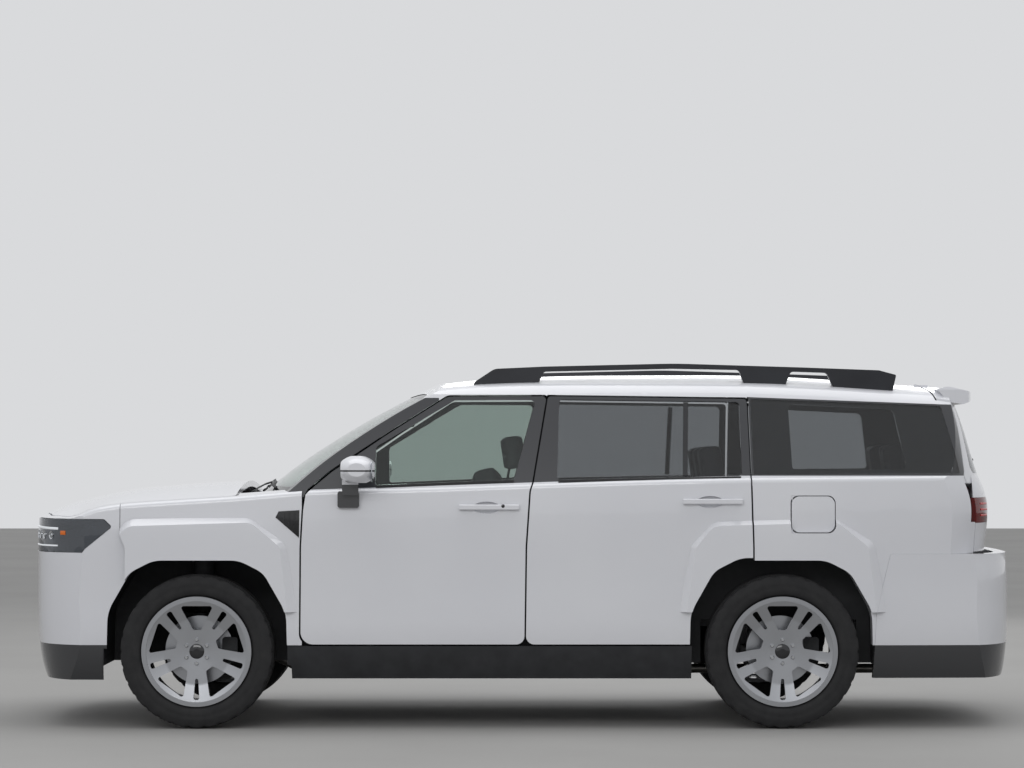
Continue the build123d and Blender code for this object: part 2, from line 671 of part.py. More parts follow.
def centre_pillar():
    foot = block(B_LINE - 70, B_LINE + 96, -PILLAR_OUT, -PILLAR_IN, SILL_TOP, BELT - 40)
    strip = [(B_LINE - 40, BELT - 90), (B_LINE + 96, BELT - 90), (B_LINE + 96, BELT),
             (B_LINE + 150, up(1600)), (B_LINE + 50, up(1600)), (B_LINE - 30, BELT)]
    shape = foot + ((PILLAR_SEAT & left(strip)) - PILLAR_BACK)
    shape -= block(B_LINE - 200, B_LINE + 300, -FAR, -CABIN_HALF + 30, BELT - 100, BELT + 26)
    for z in HINGE_HEIGHTS:
        shape += hinge_arms(REAR_HINGE_X, z)
    return biggest(shape)


def hood_outline(edge):
    e = edge
    port = [(NOSE + 70 - e, -420, 300), (NOSE + 128 - e, -700, 160), (NOSE + 250 - e, -838 - e, 240),
            (FRONT - 100, -872 - e, 600), (FRONT + 187 + e, -872 - e, 30)]
    starboard = [(x, -y, radius) for x, y, radius in reversed(port)]
    return port + starboard


def hood():
    panel = wall(FRONT_END, 0, NOSE_THICK, plan_prism(hood_outline(-GAP / 2), low(900), 1280))
    for side in (-1, 1):
        y = side * HOOD_HINGE_Y
        ear = block(FRONT + 148, HOOD_HINGE_X, y - 5, y + 5, HOOD_HINGE_Z - 12, HOOD_HINGE_Z + 2)
        ear += block(FRONT + 148, FRONT + 174, y - 5, y + 5, HOOD_HINGE_Z - 12, HOOD_HINGE_Z + 20)
        ear += Pos(HOOD_HINGE_X, y, HOOD_HINGE_Z) * Rot(90, 0, 0) * Cylinder(12, 10)
        panel += ear - Pos(HOOD_HINGE_X, y, HOOD_HINGE_Z) * Rot(90, 0, 0) * Cylinder(HOOD_PIN + BEARING_GAP, 60)
    return biggest(panel)


HOOD_CUT = plan_prism(hood_outline(GAP / 2), low(974), 1280)
HOOD_CUT += Pos(GAP * 0.75, 0, 0) * HOOD_CUT


def lamp_zone(grow):
    g = grow
    side = [(NOSE - 60, low(1008) + g), (NOSE + 407 + g, low(1004) + g, 20), (NOSE + 446 + g, low(968), 12),
            (NOSE + 315 + g, low(862)), (NOSE + 300 + g, low(845) - g), (NOSE - 60, low(845) - g)]
    face = front_prism([(-FAR, low(1012) + g), (-478 + g, low(1012) + g), (-516 + g, low(845) - g),
                        (-FAR, low(845) - g)], NOSE - 50, NOSE + 600)
    return left(side, -300) & face


LAMP_CUT = lamp_zone(1.5)


def headlamp():
    lamp = wall(FRONT_END, 0, GATE_THICK, lamp_zone(-1) - HOOD_CUT)
    return biggest(lamp + block(NOSE + 85, NOSE + 160 - SEAL, -600, -560, 856, 890))


def nose_split(edge):
    """Outline of the bumper's share of the front, up to its cut towards the fender."""
    return [(NOSE - 80, 60), (FRONT - 345 + edge, 60), (FRONT - 345 + edge, low(870)),
            (FRONT - 372 + edge, low(936)), (FRONT - 372 + edge, 1280), (NOSE - 80, 1280)]


def fender():
    outline = [(FRONT - 342, DOOR_BOTTOM), (FRONT - 342, low(870)), (FRONT - 369, low(936)),
               (FRONT - 369, 1280), (A_LINE + 60, 1280), (A_LINE + 60, DOOR_BOTTOM)]
    zone = left(outline, -600) - HOOD_CUT - LAMP_CUT
    shape = wall(FRONT_END, 0, SKIN, zone) + (FRONT_FLARE & zone)
    shape -= block(FRONT + 100, A_LINE + 80, -800, 0, 1000, 1280)
    shape -= UPPER[0] & block(FRONT, A_LINE + 80, -FAR, 0, POST_FOOT - SEAL, 1300)
    for z in (620, 1060):
        shape += block(A_LINE - 46, A_LINE - 26, -SIDE, -PILLAR_OUT, z, z + 28) & FRONT_END[0]
    opening = left(front_door_corners(GAP / 2), -500)
    return biggest(shape - opening - left(arch_corners(FRONT)) - block(A_LINE - 6, 0, -FAR, 0, 0, 1300))


def grille_zone(grow):
    g = grow
    port = [(-428 - g, low(962) + g, 30), (-456 - g, low(800), 20), (-410 - g, low(640) - g, 30)]
    starboard = [(-y, z, radius) for y, z, radius in reversed(port)]
    return front_prism(port + starboard, NOSE - 60, NOSE + 140)


def front_bumper():
    shape = wall(FRONT_END, 0, NOSE_THICK, side_prism(nose_split(0), -FAR, FAR))
    flares = FRONT_FLARE & left(nose_split(0), -600)
    arch = left(arch_corners(FRONT), -600)
    intake = front_prism([(-560, 300, 20), (-480, 420, 30), (480, 420, 30), (560, 300, 20)],
                         NOSE - 60, NOSE + 140)
    cuts = HOOD_CUT + LAMP_CUT + twin(LAMP_CUT) + grille_zone(1) + intake + arch + twin(arch)
    return biggest(shape + flares + twin(flares) - cuts - FRONT_ROOM)


def nose_band(depth_from, depth_to, z_from, z_to):
    """Upright band that follows the nose in plan."""
    outer = end_section(z_from, NOSE, NOSE_SWEEP, depth_from, 1)
    inner = end_section(z_from, NOSE, NOSE_SWEEP, depth_to, 1)
    return extrude(outer, amount=z_to - z_from, dir=(0, 0, 1)) - extrude(inner, amount=z_to - z_from, dir=(0, 0, 1))


def grille():
    """Field of horizontal bars in a frame, over a closed backing."""
    zone = grille_zone(0.2) & block(NOSE - 60, NOSE + 140, -600, 600, 0, 1300)
    field = nose_band(14, 26, low(630), low(995))
    shape = nose_band(26, 34, low(630), low(995)) & zone
    shape += field & (zone - grille_zone(-24))
    for index in range(GRILLE_BARS):
        z = low(672) + index * low(262) / (GRILLE_BARS - 1)
        shape += nose_band(10, 30, z - 6, z + 6) & grille_zone(-10)
    return biggest(shape)


def tail_room():
    """Inside of the rear bumper."""
    return BODIES[GATE_THICK] & (block(0, TAIL, -990, 990, 60, 1200) & tail_shape(BUMPER_PROFILE, GATE_THICK))


def bumper_zone(grow):
    top = BUMPER_TOP + grow
    return side_prism([(REAR + 437 - grow, BODY_BOTTOM + 10), (REAR + 452 - grow, 560), (REAR + 520 - grow, top),
                       (TAIL + 50, top), (TAIL + 50, BODY_BOTTOM + 10)], -980, 980)


def rear_bumper():
    """Cover that stands proud of the tail and wraps forward to the arches."""
    outer = lower_body(-3) & (bumper_zone(0) & tail_shape(BUMPER_PROFILE, 0))
    lip = REAR_FLARE & bumper_zone(0)
    outer = outer + lip + twin(lip)
    arch = left(arch_corners(REAR), -600)
    return biggest(outer - tail_room() - arch - twin(arch))


# ---------------------------------------------------------------- tailgate and roof

GATE_HINGE_X = TAIL - 460
GATE_HINGE_Z = up(1655)
GATE_HINGE_Y = 450.0


def lamp_area(grow):
    g = grow
    corners = [(-880, low(1108) + g, 0), (-500 + g, low(1108) + g, 14), (-540 + g, low(985) - g, 14),
               (-880, low(985) - g, 0)]
    return front_prism(corners, TAIL - 330, TAIL)


def tail_pane(grow, drop):
    g = grow
    port = [(-742 - g + drop, up(1226) - g + drop / 2, 30), (-640 - g + drop, up(1552) + g - drop / 2, 30)]
    starboard = [(-y, z, radius) for y, z, radius in reversed(port)]
    return front_prism(port + starboard, TAIL - 420, TAIL)


def spoiler():
    outline = [(TAIL - 380, up(1636)), (TAIL - 328, up(1650), 60), (TAIL - 212, up(1622), 20),
               (TAIL - 175, up(1592), 8), (TAIL - 254, up(1562), 20), (TAIL - 330, up(1574))]
    crown = AFT_TOP & tail_shape([(1500, 175), (1800, 175)], 0, up)
    return side_prism(outline, -672, 672) & crown


AFT_TOP = block(TAIL - 420, TAIL, -980, 980, up(1505), up(1795))


def gate_strap(side):
    y = side * GATE_HINGE_Y
    strap = block(GATE_HINGE_X, TAIL - 400, y - 8, y + 8, GATE_HINGE_Z - 7, GATE_HINGE_Z + 5)
    barrel = Pos(GATE_HINGE_X, y, GATE_HINGE_Z) * Rot(90, 0, 0) * Cylinder(9, 16)
    bore = Pos(GATE_HINGE_X, y, GATE_HINGE_Z) * Rot(90, 0, 0) * Cylinder(5 + BEARING_GAP, 60)
    return strap + barrel - bore


def tailgate():
    """Lifting rear door: panel, window surround and the spoiler over the glass."""
    zone = gate_zone(0)
    inner = gate_zone(-DOOR_INSET)
    panel = wall(REAR_END, 0, SKIN, zone) + wall(REAR_END, SKIN, GATE_THICK, inner)
    panel -= block(TAIL - 700, TAIL - 230, -FAR, FAR, 0, BELT + 80)
    surround = wall(UPPER, 0, SKIN, zone) + wall(UPPER, SKIN, FRAME_THICK, inner)
    surround -= (tail_pane(SEAL, 0) & UPPER[0]) - UPPER[2 * SKIN]
    surround -= tail_pane(0, 70)
    shape = panel - lamp_area(0) - twin(lamp_area(0))
    shape = shape + surround + (spoiler() & zone)
    shape += gate_strap(-1) + gate_strap(1)
    return biggest(shape)


def tail_lamp():
    return biggest(wall(REAR_END, 0, GATE_THICK, lamp_area(-SEAL) & gate_zone(0)))


def tail_window():
    return biggest(wall(UPPER, 0, SKIN, tail_pane(0, 0) & gate_zone(-2)))


def hinge_notch(side):
    """Slot in the roof's rear edge with the tailgate's hinge pin across it."""
    y = side * GATE_HINGE_Y
    slot = block(GATE_HINGE_X - 14, GATE_HINGE_X + 40, y - 13, y + 13, GATE_HINGE_Z - 15, ROOF)
    pin = Pos(GATE_HINGE_X, y, GATE_HINGE_Z) * Rot(90, 0, 0) * Cylinder(5, 34)
    return slot, pin


def roof():
    shape = roof_and_pillars()
    for side in (-1, 1):
        slot, pin = hinge_notch(side)
        shape = shape - slot + pin
    return biggest(shape)


def roof_rail():
    """Raised side rail on three feet."""
    outline = [(B_LINE - 288, up(1622)), (B_LINE - 270, up(1672)), (B_LINE - 173, up(1736), 60),
               (B_LINE + 70, up(1747), 900), (B_LINE + 710, up(1762), 2500), (REAR + 114, up(1743), 900),
               (REAR + 497, up(1729), 40), (REAR + 583, up(1706), 8), (REAR + 560, up(1608))]
    gap_one = [(B_LINE + 10, up(1600)), (B_LINE + 70, up(1722), 20), (B_LINE + 700, up(1736), 900),
               (REAR - 190, up(1730), 20), (REAR - 140, up(1600))]
    gap_two = [(REAR + 15, up(1600)), (REAR + 66, up(1722), 20), (REAR + 240, up(1716), 20),
               (REAR + 295, up(1600))]
    shape = side_prism(outline, -RAIL_HALF - 17, -RAIL_HALF + 17)
    for gap in (gap_one, gap_two):
        shape -= side_prism(gap, -RAIL_HALF - 40, -RAIL_HALF + 40)
    return biggest(shape - UPPER[0])


# ---------------------------------------------------------------- structure

FLOOR = 370.0
REAR_FLOOR = 560.0
SHEET = 28.0
FIREWALL_X = A_LINE - 110
COWL_FRONT = FRONT + 196


def cowl():
    shape = block(COWL_FRONT, FIREWALL_X + 60, -838, 838, POST_FOOT - 34, POST_FOOT)
    shape += block(FIREWALL_X, A_LINE - 24, -900, 900, POST_FOOT - 22, POST_FOOT)
    for side in (-1, 1):
        y = side * HOOD_HINGE_Y
        for end in (-12, 12):
            shape += block(HOOD_HINGE_X - 9, HOOD_HINGE_X + 9, y + end - 2, y + end + 2, POST_FOOT - 34,
                           HOOD_HINGE_Z + 8)
        shape -= block(COWL_FRONT - 60, HOOD_HINGE_X + 22, y - 10, y + 10, POST_FOOT - 60, POST_FOOT + 60)
        shape += Pos(HOOD_HINGE_X, y, HOOD_HINGE_Z) * Rot(90, 0, 0) * Cylinder(HOOD_PIN, 24)
    return shape


def firewall():
    sheet = block(FIREWALL_X, FIREWALL_X + SHEET, -PILLAR_IN + 1, PILLAR_IN - 1, FLOOR - SHEET, POST_FOOT - 34)
    return biggest(sheet - FRONT_ROOM)


def floor_pan():
    """Cabin and cargo floor with its long members, the rear panel and the beam behind the bumper."""
    kick = C_LINE - 250
    shape = block(FIREWALL_X + SHEET, kick, -PILLAR_IN, PILLAR_IN, FLOOR - SHEET, FLOOR)
    shape += block(kick - SHEET, kick, -PILLAR_IN, PILLAR_IN, FLOOR - SHEET, REAR_FLOOR)
    aft = block(kick - SHEET, TAIL - 180, -REAR_LINER_IN + 2, REAR_LINER_IN - 2, REAR_FLOOR - SHEET, REAR_FLOOR)
    aft += block(REAR + 470, TAIL - 180, -800, 800, REAR_FLOOR - SHEET, REAR_FLOOR)
    aft += block(TAIL - 208, TAIL - 180, -780, 780, 480, BUMPER_TOP - 10)
    for side in (-1, 1):
        aft += block(kick, TAIL - 190, side * 470 - 36, side * 470 + 36, 470, REAR_FLOOR - SHEET)
        shape += block(FIREWALL_X, kick, side * 430 - 35, side * 430 + 35, 290, FLOOR - SHEET)
    aft += block(TAIL - 180, TAIL - 40, -540, 540, 480, 560)
    aft &= block(0, TAIL, -800, 800, 60, 1200) & tail_shape(BUMPER_PROFILE, GATE_THICK + 12)
    return biggest(shape + aft - FRONT_ROOM - REAR_ROOM)


def front_structure():
    shape = block(NOSE + 160, NOSE + 200, -620, 620, 330, 900)
    for side in (-1, 1):
        shape += block(NOSE + 160, FIREWALL_X, side * 427 - 27, side * 427 + 27, 420, 520)
    beam = block(NOSE + 20, NOSE + 190, -540, 540, 430, 510)
    return shape + (beam & (FORE & nose_shape(NOSE_THICK + SEAL)))


def liner(axle, inner, outer, grow):
    """Wheelhouse: barrel round the tyre with a wall on its inner side."""
    outside = side_prism(arch_corners(axle, grow + LINER_THICK), -outer, -inner)
    inside = side_prism(arch_corners(axle, grow), -outer - 1, -inner - LINER_THICK)
    shape = outside - inside - block(axle - 600, axle + 600, -outer - 1, 0, 0, 300)
    return shape


def front_liner():
    shape = liner(FRONT, FRONT_LINER_IN, LINER_OUT, LINER_GAP)
    return biggest(shape - block(FIREWALL_X + 60, A_LINE, -FAR, -PILLAR_OUT + 46, 0, DOOR_BOTTOM + 60))


def rear_liner():
    shape = liner(REAR, REAR_LINER_IN, REAR_LINER_OUT, LINER_GAP)
    return biggest(shape - block(REAR - 380, REAR + 380, -REAR_LINER_IN - 10, 0, 0, 510))


def engine():
    return block(FRONT - 420, FRONT + 80, -300, 320, 290 + SEAL, 860)


def fuel_tank():
    tank = block(REAR - 940, REAR - 420, -380, 380, 246, FLOOR - SHEET - SEAL)
    return fillet(tank.edges().filter_by(Axis.Z), 40)


def exhaust():
    pipe = rod((FRONT + 93, 180, 380), (FRONT + 430, 180, 216), 24)
    pipe += Pos(FRONT + 430, 180, 216) * Sphere(24)
    pipe += rod((FRONT + 430, 180, 216), (REAR + 620, 180, 216), 24)
    pipe += block(B_LINE - 540, B_LINE - 520, 170, 190, 230, FLOOR - SHEET - SEAL)
    pipe += block(REAR + 700, REAR + 716, 340, 356, 330, REAR_FLOOR - SHEET - SEAL)
    silencer = block(REAR + 600, REAR + 860, 60, 620, 196, 340)
    silencer = fillet(silencer.edges().filter_by(Axis.Y), 40)
    tips = rod((REAR + 850, 520, 270), (TAIL - 122, 520, 270), 30)
    return pipe + silencer + tips


# ---------------------------------------------------------------- wheels and suspension

def round_profile(corners):
    """Solid of revolution about the axle; corners are (radius, along the axle)."""
    face = filled(corners, lambda p: Vector(p.X, p.Y, 0))
    return revolve(face, axis=Axis.Y)


def spoke_window(inner_radius, outer_radius, inner_half, outer_half, turn):
    corners = []
    for radius, half in ((inner_radius, -inner_half), (outer_radius, -outer_half), (outer_radius, outer_half),
                         (inner_radius, inner_half)):
        angle = math.radians(half)
        corners.append((radius * math.sin(angle), radius * math.cos(angle), 10))
    return Rot(0, turn, 0) * side_prism(corners, -160, 0)


def rim():
    """Alloy wheel with pairs of spokes; the street side faces -Y."""
    half = RIM_WIDTH / 2
    lip, seat, well = RIM_RADIUS + 6, RIM_RADIUS - 8, RIM_RADIUS - 18
    barrel = round_profile([(lip, -half), (lip, -half + 9, 3), (seat, -half + 15), (seat, half - 15),
                            (lip, half - 9, 3), (lip, half), (seat - 8, half - 4), (well, half - 50),
                            (well, 40 - half), (seat - 8, -half)])
    face = round_profile([(0, -62), (0, -90), (70, -93, 20), (160, -97, 60), (well + 4, -112),
                          (well + 4, -88), (160, -70, 60), (78, -60)])
    for index in range(SPOKES):
        turn = index * 360 / SPOKES
        face -= spoke_window(104, well - 8, 11, 20, turn)
        face -= spoke_window(132, well - 8, 3.2, 3.6, turn + 180 / SPOKES)
    hub = Pos(0, 4, 0) * Rot(90, 0, 0) * Cylinder(52, 132)
    bore = Pos(0, 54, 0) * Rot(90, 0, 0) * Cylinder(STUB_RADIUS + BEARING_GAP, 100)
    return (barrel + face + hub) - bore


def brake_disc():
    ring = Pos(0, 51, 0) * Rot(90, 0, 0) * Cylinder(DISC_RADIUS, 20)
    return ring - Pos(0, 51, 0) * Rot(90, 0, 0) * Cylinder(52 + SEAL, 40)


def tyre():
    half = TYRE_WIDTH / 2
    bead, seat = RIM_RADIUS + 6 + SEAL, RIM_RADIUS - 8 + SEAL
    edge = RIM_WIDTH / 2 - 9 - SEAL
    return round_profile([(seat, -edge + 7), (bead + 2, -edge, 2), (bead + 12, -half + 8, 8),
                          (TYRE_RADIUS - 52, -half, 40), (TYRE_RADIUS - 3, -half + 12, 22),
                          (TYRE_RADIUS + 0.6, 0, 1800), (TYRE_RADIUS - 3, half - 12, 22),
                          (TYRE_RADIUS - 52, half, 40), (bead + 12, half - 8, 8), (bead + 2, edge, 2),
                          (seat, edge - 7)])


def at_wheel(shape, axle):
    return Pos(axle, -TRACK_HALF, TYRE_RADIUS) * shape


def upright(axle):
    """Wheel carrier with its stub axle and the brake caliper round the disc's rim."""
    shape = block(axle - 30, axle + 30, -KINGPIN_HALF - 18, -KINGPIN_HALF + 18, TYRE_RADIUS - BALL_RISE + 20,
                  TYRE_RADIUS + BALL_RISE)
    start = (axle, -KINGPIN_HALF, TYRE_RADIUS)
    shape += rod(start, (axle, -TRACK_HALF + 8, TYRE_RADIUS), STUB_RADIUS)
    shape += block(axle + 20, axle + 130, -KINGPIN_HALF - 12, -KINGPIN_HALF + 4, TYRE_RADIUS - 34, TYRE_RADIUS + 34)
    caliper = block(axle + 112, axle + 186, -TRACK_HALF + 16, -KINGPIN_HALF + 6, TYRE_RADIUS - 62, TYRE_RADIUS + 62)
    caliper = fillet(caliper.edges().filter_by(Axis.Y), 14)
    slot = Pos(axle, -TRACK_HALF + 51, TYRE_RADIUS) * Rot(90, 0, 0) * Cylinder(DISC_RADIUS + 6, 34)
    return shape + (caliper - slot)


def front_knuckle():
    bore = Pos(FRONT, -KINGPIN_HALF, TYRE_RADIUS) * Cylinder(10 + BEARING_GAP, 4 * BALL_RISE)
    return biggest(upright(FRONT) - bore)


def damper(axle, y_low, z_low, y_high, z_high):
    shape = rod((axle, y_low, z_low), (axle, y_high, z_high), 22)
    mid = (axle, (y_low + y_high) / 2, (z_low + z_high) / 2)
    return shape + rod(mid, (axle, y_high, z_high), 56)


def front_suspension():
    """Cross member, lower and upper arms with their ball pins, and the dampers."""
    low_z = TYRE_RADIUS - BALL_RISE
    high_z = TYRE_RADIUS + BALL_RISE
    shape = block(FRONT - 130, FRONT + 170, -340, 340, 210, 290)
    for side in (-1, 1):
        arm = plan_prism([(FRONT - 120, side * 320), (FRONT + 150, side * 320), (FRONT + 26, side * 722, 20),
                          (FRONT - 26, side * 722, 20)], low_z - 12, low_z + 12)
        upper_arm = plan_prism([(FRONT - 130, side * (FRONT_LINER_IN + LINER_THICK + SEAL)),
                                (FRONT + 130, side * (FRONT_LINER_IN + LINER_THICK + SEAL)),
                                (FRONT + 24, side * 722, 20), (FRONT - 24, side * 722, 20)],
                               high_z + 6, high_z + 24)
        shape += arm + rod((FRONT, side * KINGPIN_HALF, low_z), (FRONT, side * KINGPIN_HALF, low_z + 50), 10)
        shape += damper(FRONT, side * 545, low_z, side * 545, 808 + LINER_GAP - SEAL)
        shape += upper_arm
        shape += rod((FRONT, side * KINGPIN_HALF, high_z - 30), (FRONT, side * KINGPIN_HALF, high_z + 10), 10)
    return shape


def rear_suspension():
    shape = block(REAR - 110, REAR + 110, -360, 360, 246, 330)
    for side in (-1, 1):
        for z in (TYRE_RADIUS - 110, TYRE_RADIUS + 80):
            shape += block(REAR - 24, REAR + 24, side * 340, side * (KINGPIN_HALF - 10), z - 14, z + 14)
        shape += block(REAR - 40, REAR + 40, side * 320, side * 360, 250, TYRE_RADIUS + 94)
        shape += damper(REAR + 90, side * 590, TYRE_RADIUS - 100, side * 590, REAR_FLOOR - SHEET - SEAL)
        shape += block(REAR - 30, REAR + 120, side * 570, side * 610, TYRE_RADIUS - 124, TYRE_RADIUS - 96)
    return shape + upright(REAR) + twin(upright(REAR))


# ---------------------------------------------------------------- cabin

def dashboard():
    outline = [(FIREWALL_X + SHEET, FLOOR + 330), (FIREWALL_X + SHEET, POST_FOOT - 36), (A_LINE + 40, low(1082), 30),
               (A_LINE + 240, low(1092), 40), (A_LINE + 300, low(1040), 30), (A_LINE + 270, low(900), 30),
               (A_LINE + 150, low(720), 30)]
    shape = side_prism(outline, -PILLAR_IN + 6, PILLAR_IN - 6)
    console = side_prism([(A_LINE + 60, FLOOR), (A_LINE + 60, 720), (A_LINE + 520, 640, 40),
                          (A_LINE + 1060, 620, 30), (A_LINE + 1060, FLOOR)], -100, 100)
    column = rod(steering_point(-260), steering_point(-24), 26)
    column += rod(steering_point(-40), steering_point(14), 12)
    return shape + console + column


WHEEL_TILT = 24.0
STEERING_AT = Vector(A_LINE + 420, -370, low(985))


def steering_point(along):
    angle = math.radians(WHEEL_TILT)
    return STEERING_AT + Vector(along * math.cos(angle), 0, along * math.sin(angle))


def steering_wheel():
    """Rim, three spokes and the hub that turns on the column's shaft."""
    shape = Torus(182, 15) + Cylinder(46, 34)
    for turn in (90, 200, 340):
        shape += Rot(0, 0, turn) * Pos(112, 0, 0) * Box(142, 34, 14)
    shape -= Pos(0, 0, -20) * Cylinder(12 + BEARING_GAP, 72)
    return biggest(Pos(*STEERING_AT) * Rot(0, 90 - WHEEL_TILT, 0) * shape)


def seat(x, floor, half, height):
    """One seat or bench: base, cushion, leaning back and head rests, as one upholstered solid."""
    cushion = [(x - 270, floor + 190, 40), (x - 262, floor + 345, 50), (x + 210, floor + 310, 40),
               (x + 230, floor + 190, 30)]
    back = [(x + 150, floor + 230, 40), (x + 280, floor + height - 170, 50), (x + 390, floor + height - 180, 40),
            (x + 300, floor + 220, 40)]
    shape = side_prism(cushion, -half, half) + side_prism(back, -half + 10, half - 10)
    return shape + block(x - 180, x + 180, -half + 60, half - 60, floor + SEAL, floor + 230)


def head_rest(x, floor, y, height):
    outline = [(x + 282, floor + height - 190, 20), (x + 296, floor + height, 30),
               (x + 386, floor + height, 30), (x + 380, floor + height - 190, 20)]
    return side_prism(outline, y - 120, y + 120)


def front_seat():
    shape = Pos(0, -370, 0) * (seat(B_LINE - 420, FLOOR, 255, 1050) + head_rest(B_LINE - 420, FLOOR, 0, 1050))
    return biggest(shape)


def second_row():
    x = B_LINE + 560
    shape = seat(x, FLOOR, 630, 1010)
    for y in (-400, 0, 400):
        shape += head_rest(x, FLOOR, y, 1000)
    return biggest(shape)


def third_row():
    x = REAR + 270
    shape = seat(x, REAR_FLOOR, 590, 820)
    for y in (-300, 300):
        shape += head_rest(x, REAR_FLOOR, y, 820)
    return biggest(shape)


# ---------------------------------------------------------------- every piece, saved by name

FIXED = {"roof_and_pillars": roof, "windscreen": windscreen, "hood": hood, "grille": grille,
         "front_bumper": front_bumper, "rear_bumper": rear_bumper, "tailgate": tailgate,
         "tailgate_glass": tail_window, "cowl": cowl, "firewall": firewall, "floor_pan": floor_pan,
         "front_structure": front_structure, "engine_block": engine, "fuel_tank": fuel_tank,
         "exhaust": exhaust, "front_suspension": front_suspension, "rear_suspension": rear_suspension,
         "dashboard": dashboard, "steering_wheel": steering_wheel, "second_row_seats": second_row,
         "third_row_seats": third_row, "fuel_door": fuel_door}
PAIRED = {"rear_quarters": rear_quarter, "quarter_windows": quarter_window, "sills": sill,
          "hinge_pillars": hinge_pillar, "centre_pillars": centre_pillar, "headlamps": headlamp,
          "front_fenders": fender, "tail_lamps": tail_lamp, "roof_rails": roof_rail,
          "front_liners": front_liner, "rear_liners": rear_liner, "front_seats": front_seat}
SIDED = {"front_door": front_door, "rear_door": rear_door, "door_mirror": door_mirror,
         "front_door_glass": lambda: door_pane(front_glass_corners),
         "rear_door_glass": lambda: door_pane(rear_glass_corners), "front_knuckle": front_knuckle}

for name, maker in FIXED.items():
    save(name, maker())
for name, maker in PAIRED.items():
    save(name, both(maker()))
for name, maker in SIDED.items():
    piece = maker()
    save(f"{name}_left", piece)
    save(f"{name}_right", twin(piece))

wheel_pieces = [at_wheel(rim(), 0), at_wheel(brake_disc(), 0), at_wheel(tyre(), 0)]
for end, axle in (("front", FRONT), ("rear", REAR)):
    left_pieces = [Pos(axle, 0, 0) * piece for piece in wheel_pieces]
    for side, pieces in (("left", left_pieces), ("right", [twin(piece) for piece in left_pieces])):
        save(f"wheel_{end}_{side}", *pieces[:2])
        save(f"tyre_{end}_{side}", pieces[2])
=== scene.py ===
# %% [markdown]
# A three-row sport utility vehicle in white enamel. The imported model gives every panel, pane, seat, wheel
# and joint in its place; this script gives them their finishes and adds what is too fine for that model:
# tread, wipers, lamp innards, seals, wheel nuts and cabin trim.

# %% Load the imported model
import bpy
import bmesh
import math
from mathutils import Matrix, Vector
from mathutils.bvhtree import BVHTree


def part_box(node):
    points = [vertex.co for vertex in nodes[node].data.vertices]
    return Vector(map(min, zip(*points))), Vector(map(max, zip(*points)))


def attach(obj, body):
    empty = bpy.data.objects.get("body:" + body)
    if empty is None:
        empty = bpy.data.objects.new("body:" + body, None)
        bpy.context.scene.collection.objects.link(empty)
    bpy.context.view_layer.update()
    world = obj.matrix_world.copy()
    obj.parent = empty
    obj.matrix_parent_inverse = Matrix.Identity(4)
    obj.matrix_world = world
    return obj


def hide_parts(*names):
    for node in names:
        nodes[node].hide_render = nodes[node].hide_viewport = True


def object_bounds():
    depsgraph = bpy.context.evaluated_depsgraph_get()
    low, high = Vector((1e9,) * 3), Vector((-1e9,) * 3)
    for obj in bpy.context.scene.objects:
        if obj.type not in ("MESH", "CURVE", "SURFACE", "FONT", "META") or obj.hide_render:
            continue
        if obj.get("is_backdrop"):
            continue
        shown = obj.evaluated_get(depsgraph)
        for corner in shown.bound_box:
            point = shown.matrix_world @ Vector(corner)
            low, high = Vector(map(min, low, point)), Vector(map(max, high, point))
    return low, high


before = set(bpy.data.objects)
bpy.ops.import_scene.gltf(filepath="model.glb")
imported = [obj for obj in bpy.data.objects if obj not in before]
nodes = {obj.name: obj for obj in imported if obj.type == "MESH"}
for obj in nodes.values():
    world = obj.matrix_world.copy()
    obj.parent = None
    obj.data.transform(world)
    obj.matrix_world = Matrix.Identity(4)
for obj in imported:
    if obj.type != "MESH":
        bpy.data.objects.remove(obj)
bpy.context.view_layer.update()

# %% [markdown]
# The camera stands sixteen metres off the left side at a low eye height, with a long lens, so the side is
# nearly flat and the far side hardly shows through the glass. It tips up by a little over one degree.

# %% Camera
camera_data = bpy.data.cameras.new("camera")
camera_data.lens = 109.9
camera_data.sensor_width = 36.0
camera_data.clip_end = 200.0
camera = bpy.data.objects.new("camera", camera_data)
bpy.context.scene.collection.objects.link(camera)
camera.location = (-0.045, -15.95, 1.314)
camera.rotation_euler = (math.radians(91.3), 0.0, 0.0)
bpy.context.scene.camera = camera
print("camera with a lens of", camera_data.lens, "mm")

# %% [markdown]
# Every finish below is one Principled shader with noise for its drift in colour, its fine relief and its wear.
# These helpers keep each recipe to a few lines: one turns a hex colour to linear, one adds any node with its
# settings and links. Patterns are set out in metres from the floor's middle point, so their scales are real.

# %% Colour and node helpers
def linear(hexcode, alpha=1.0):
    """The linear colour of an sRGB hex value."""
    parts = [int(hexcode[i:i + 2], 16) / 255 for i in (1, 3, 5)]
    return (*[c / 12.92 if c <= 0.04045 else ((c + 0.055) / 1.055) ** 2.4 for c in parts], alpha)


def add(tree, kind, links=None, values=None, **settings):
    """Adds one shader node, sets it and links its inputs."""
    node = tree.nodes.new("ShaderNode" + kind)
    for name, value in settings.items():
        setattr(node, name, value)
    for socket, value in (values or {}).items():
        node.inputs[socket].default_value = value
    for socket, source in (links or {}).items():
        tree.links.new(source, node.inputs[socket])
    return node


def surface(name, colour, **sockets):
    """A material with one Principled shader; socket names use _ for a space."""
    material = bpy.data.materials.new(name)
    material.use_nodes = True
    shader = material.node_tree.nodes["Principled BSDF"]
    shader.inputs["Base Color"].default_value = linear(colour)
    for socket, value in sockets.items():
        shader.inputs[socket.replace("_", " ")].default_value = value
    return material, material.node_tree, shader


def place(tree):
    """Object coordinates, which are metres from the floor's middle point."""
    return add(tree, "TexCoord").outputs["Object"]


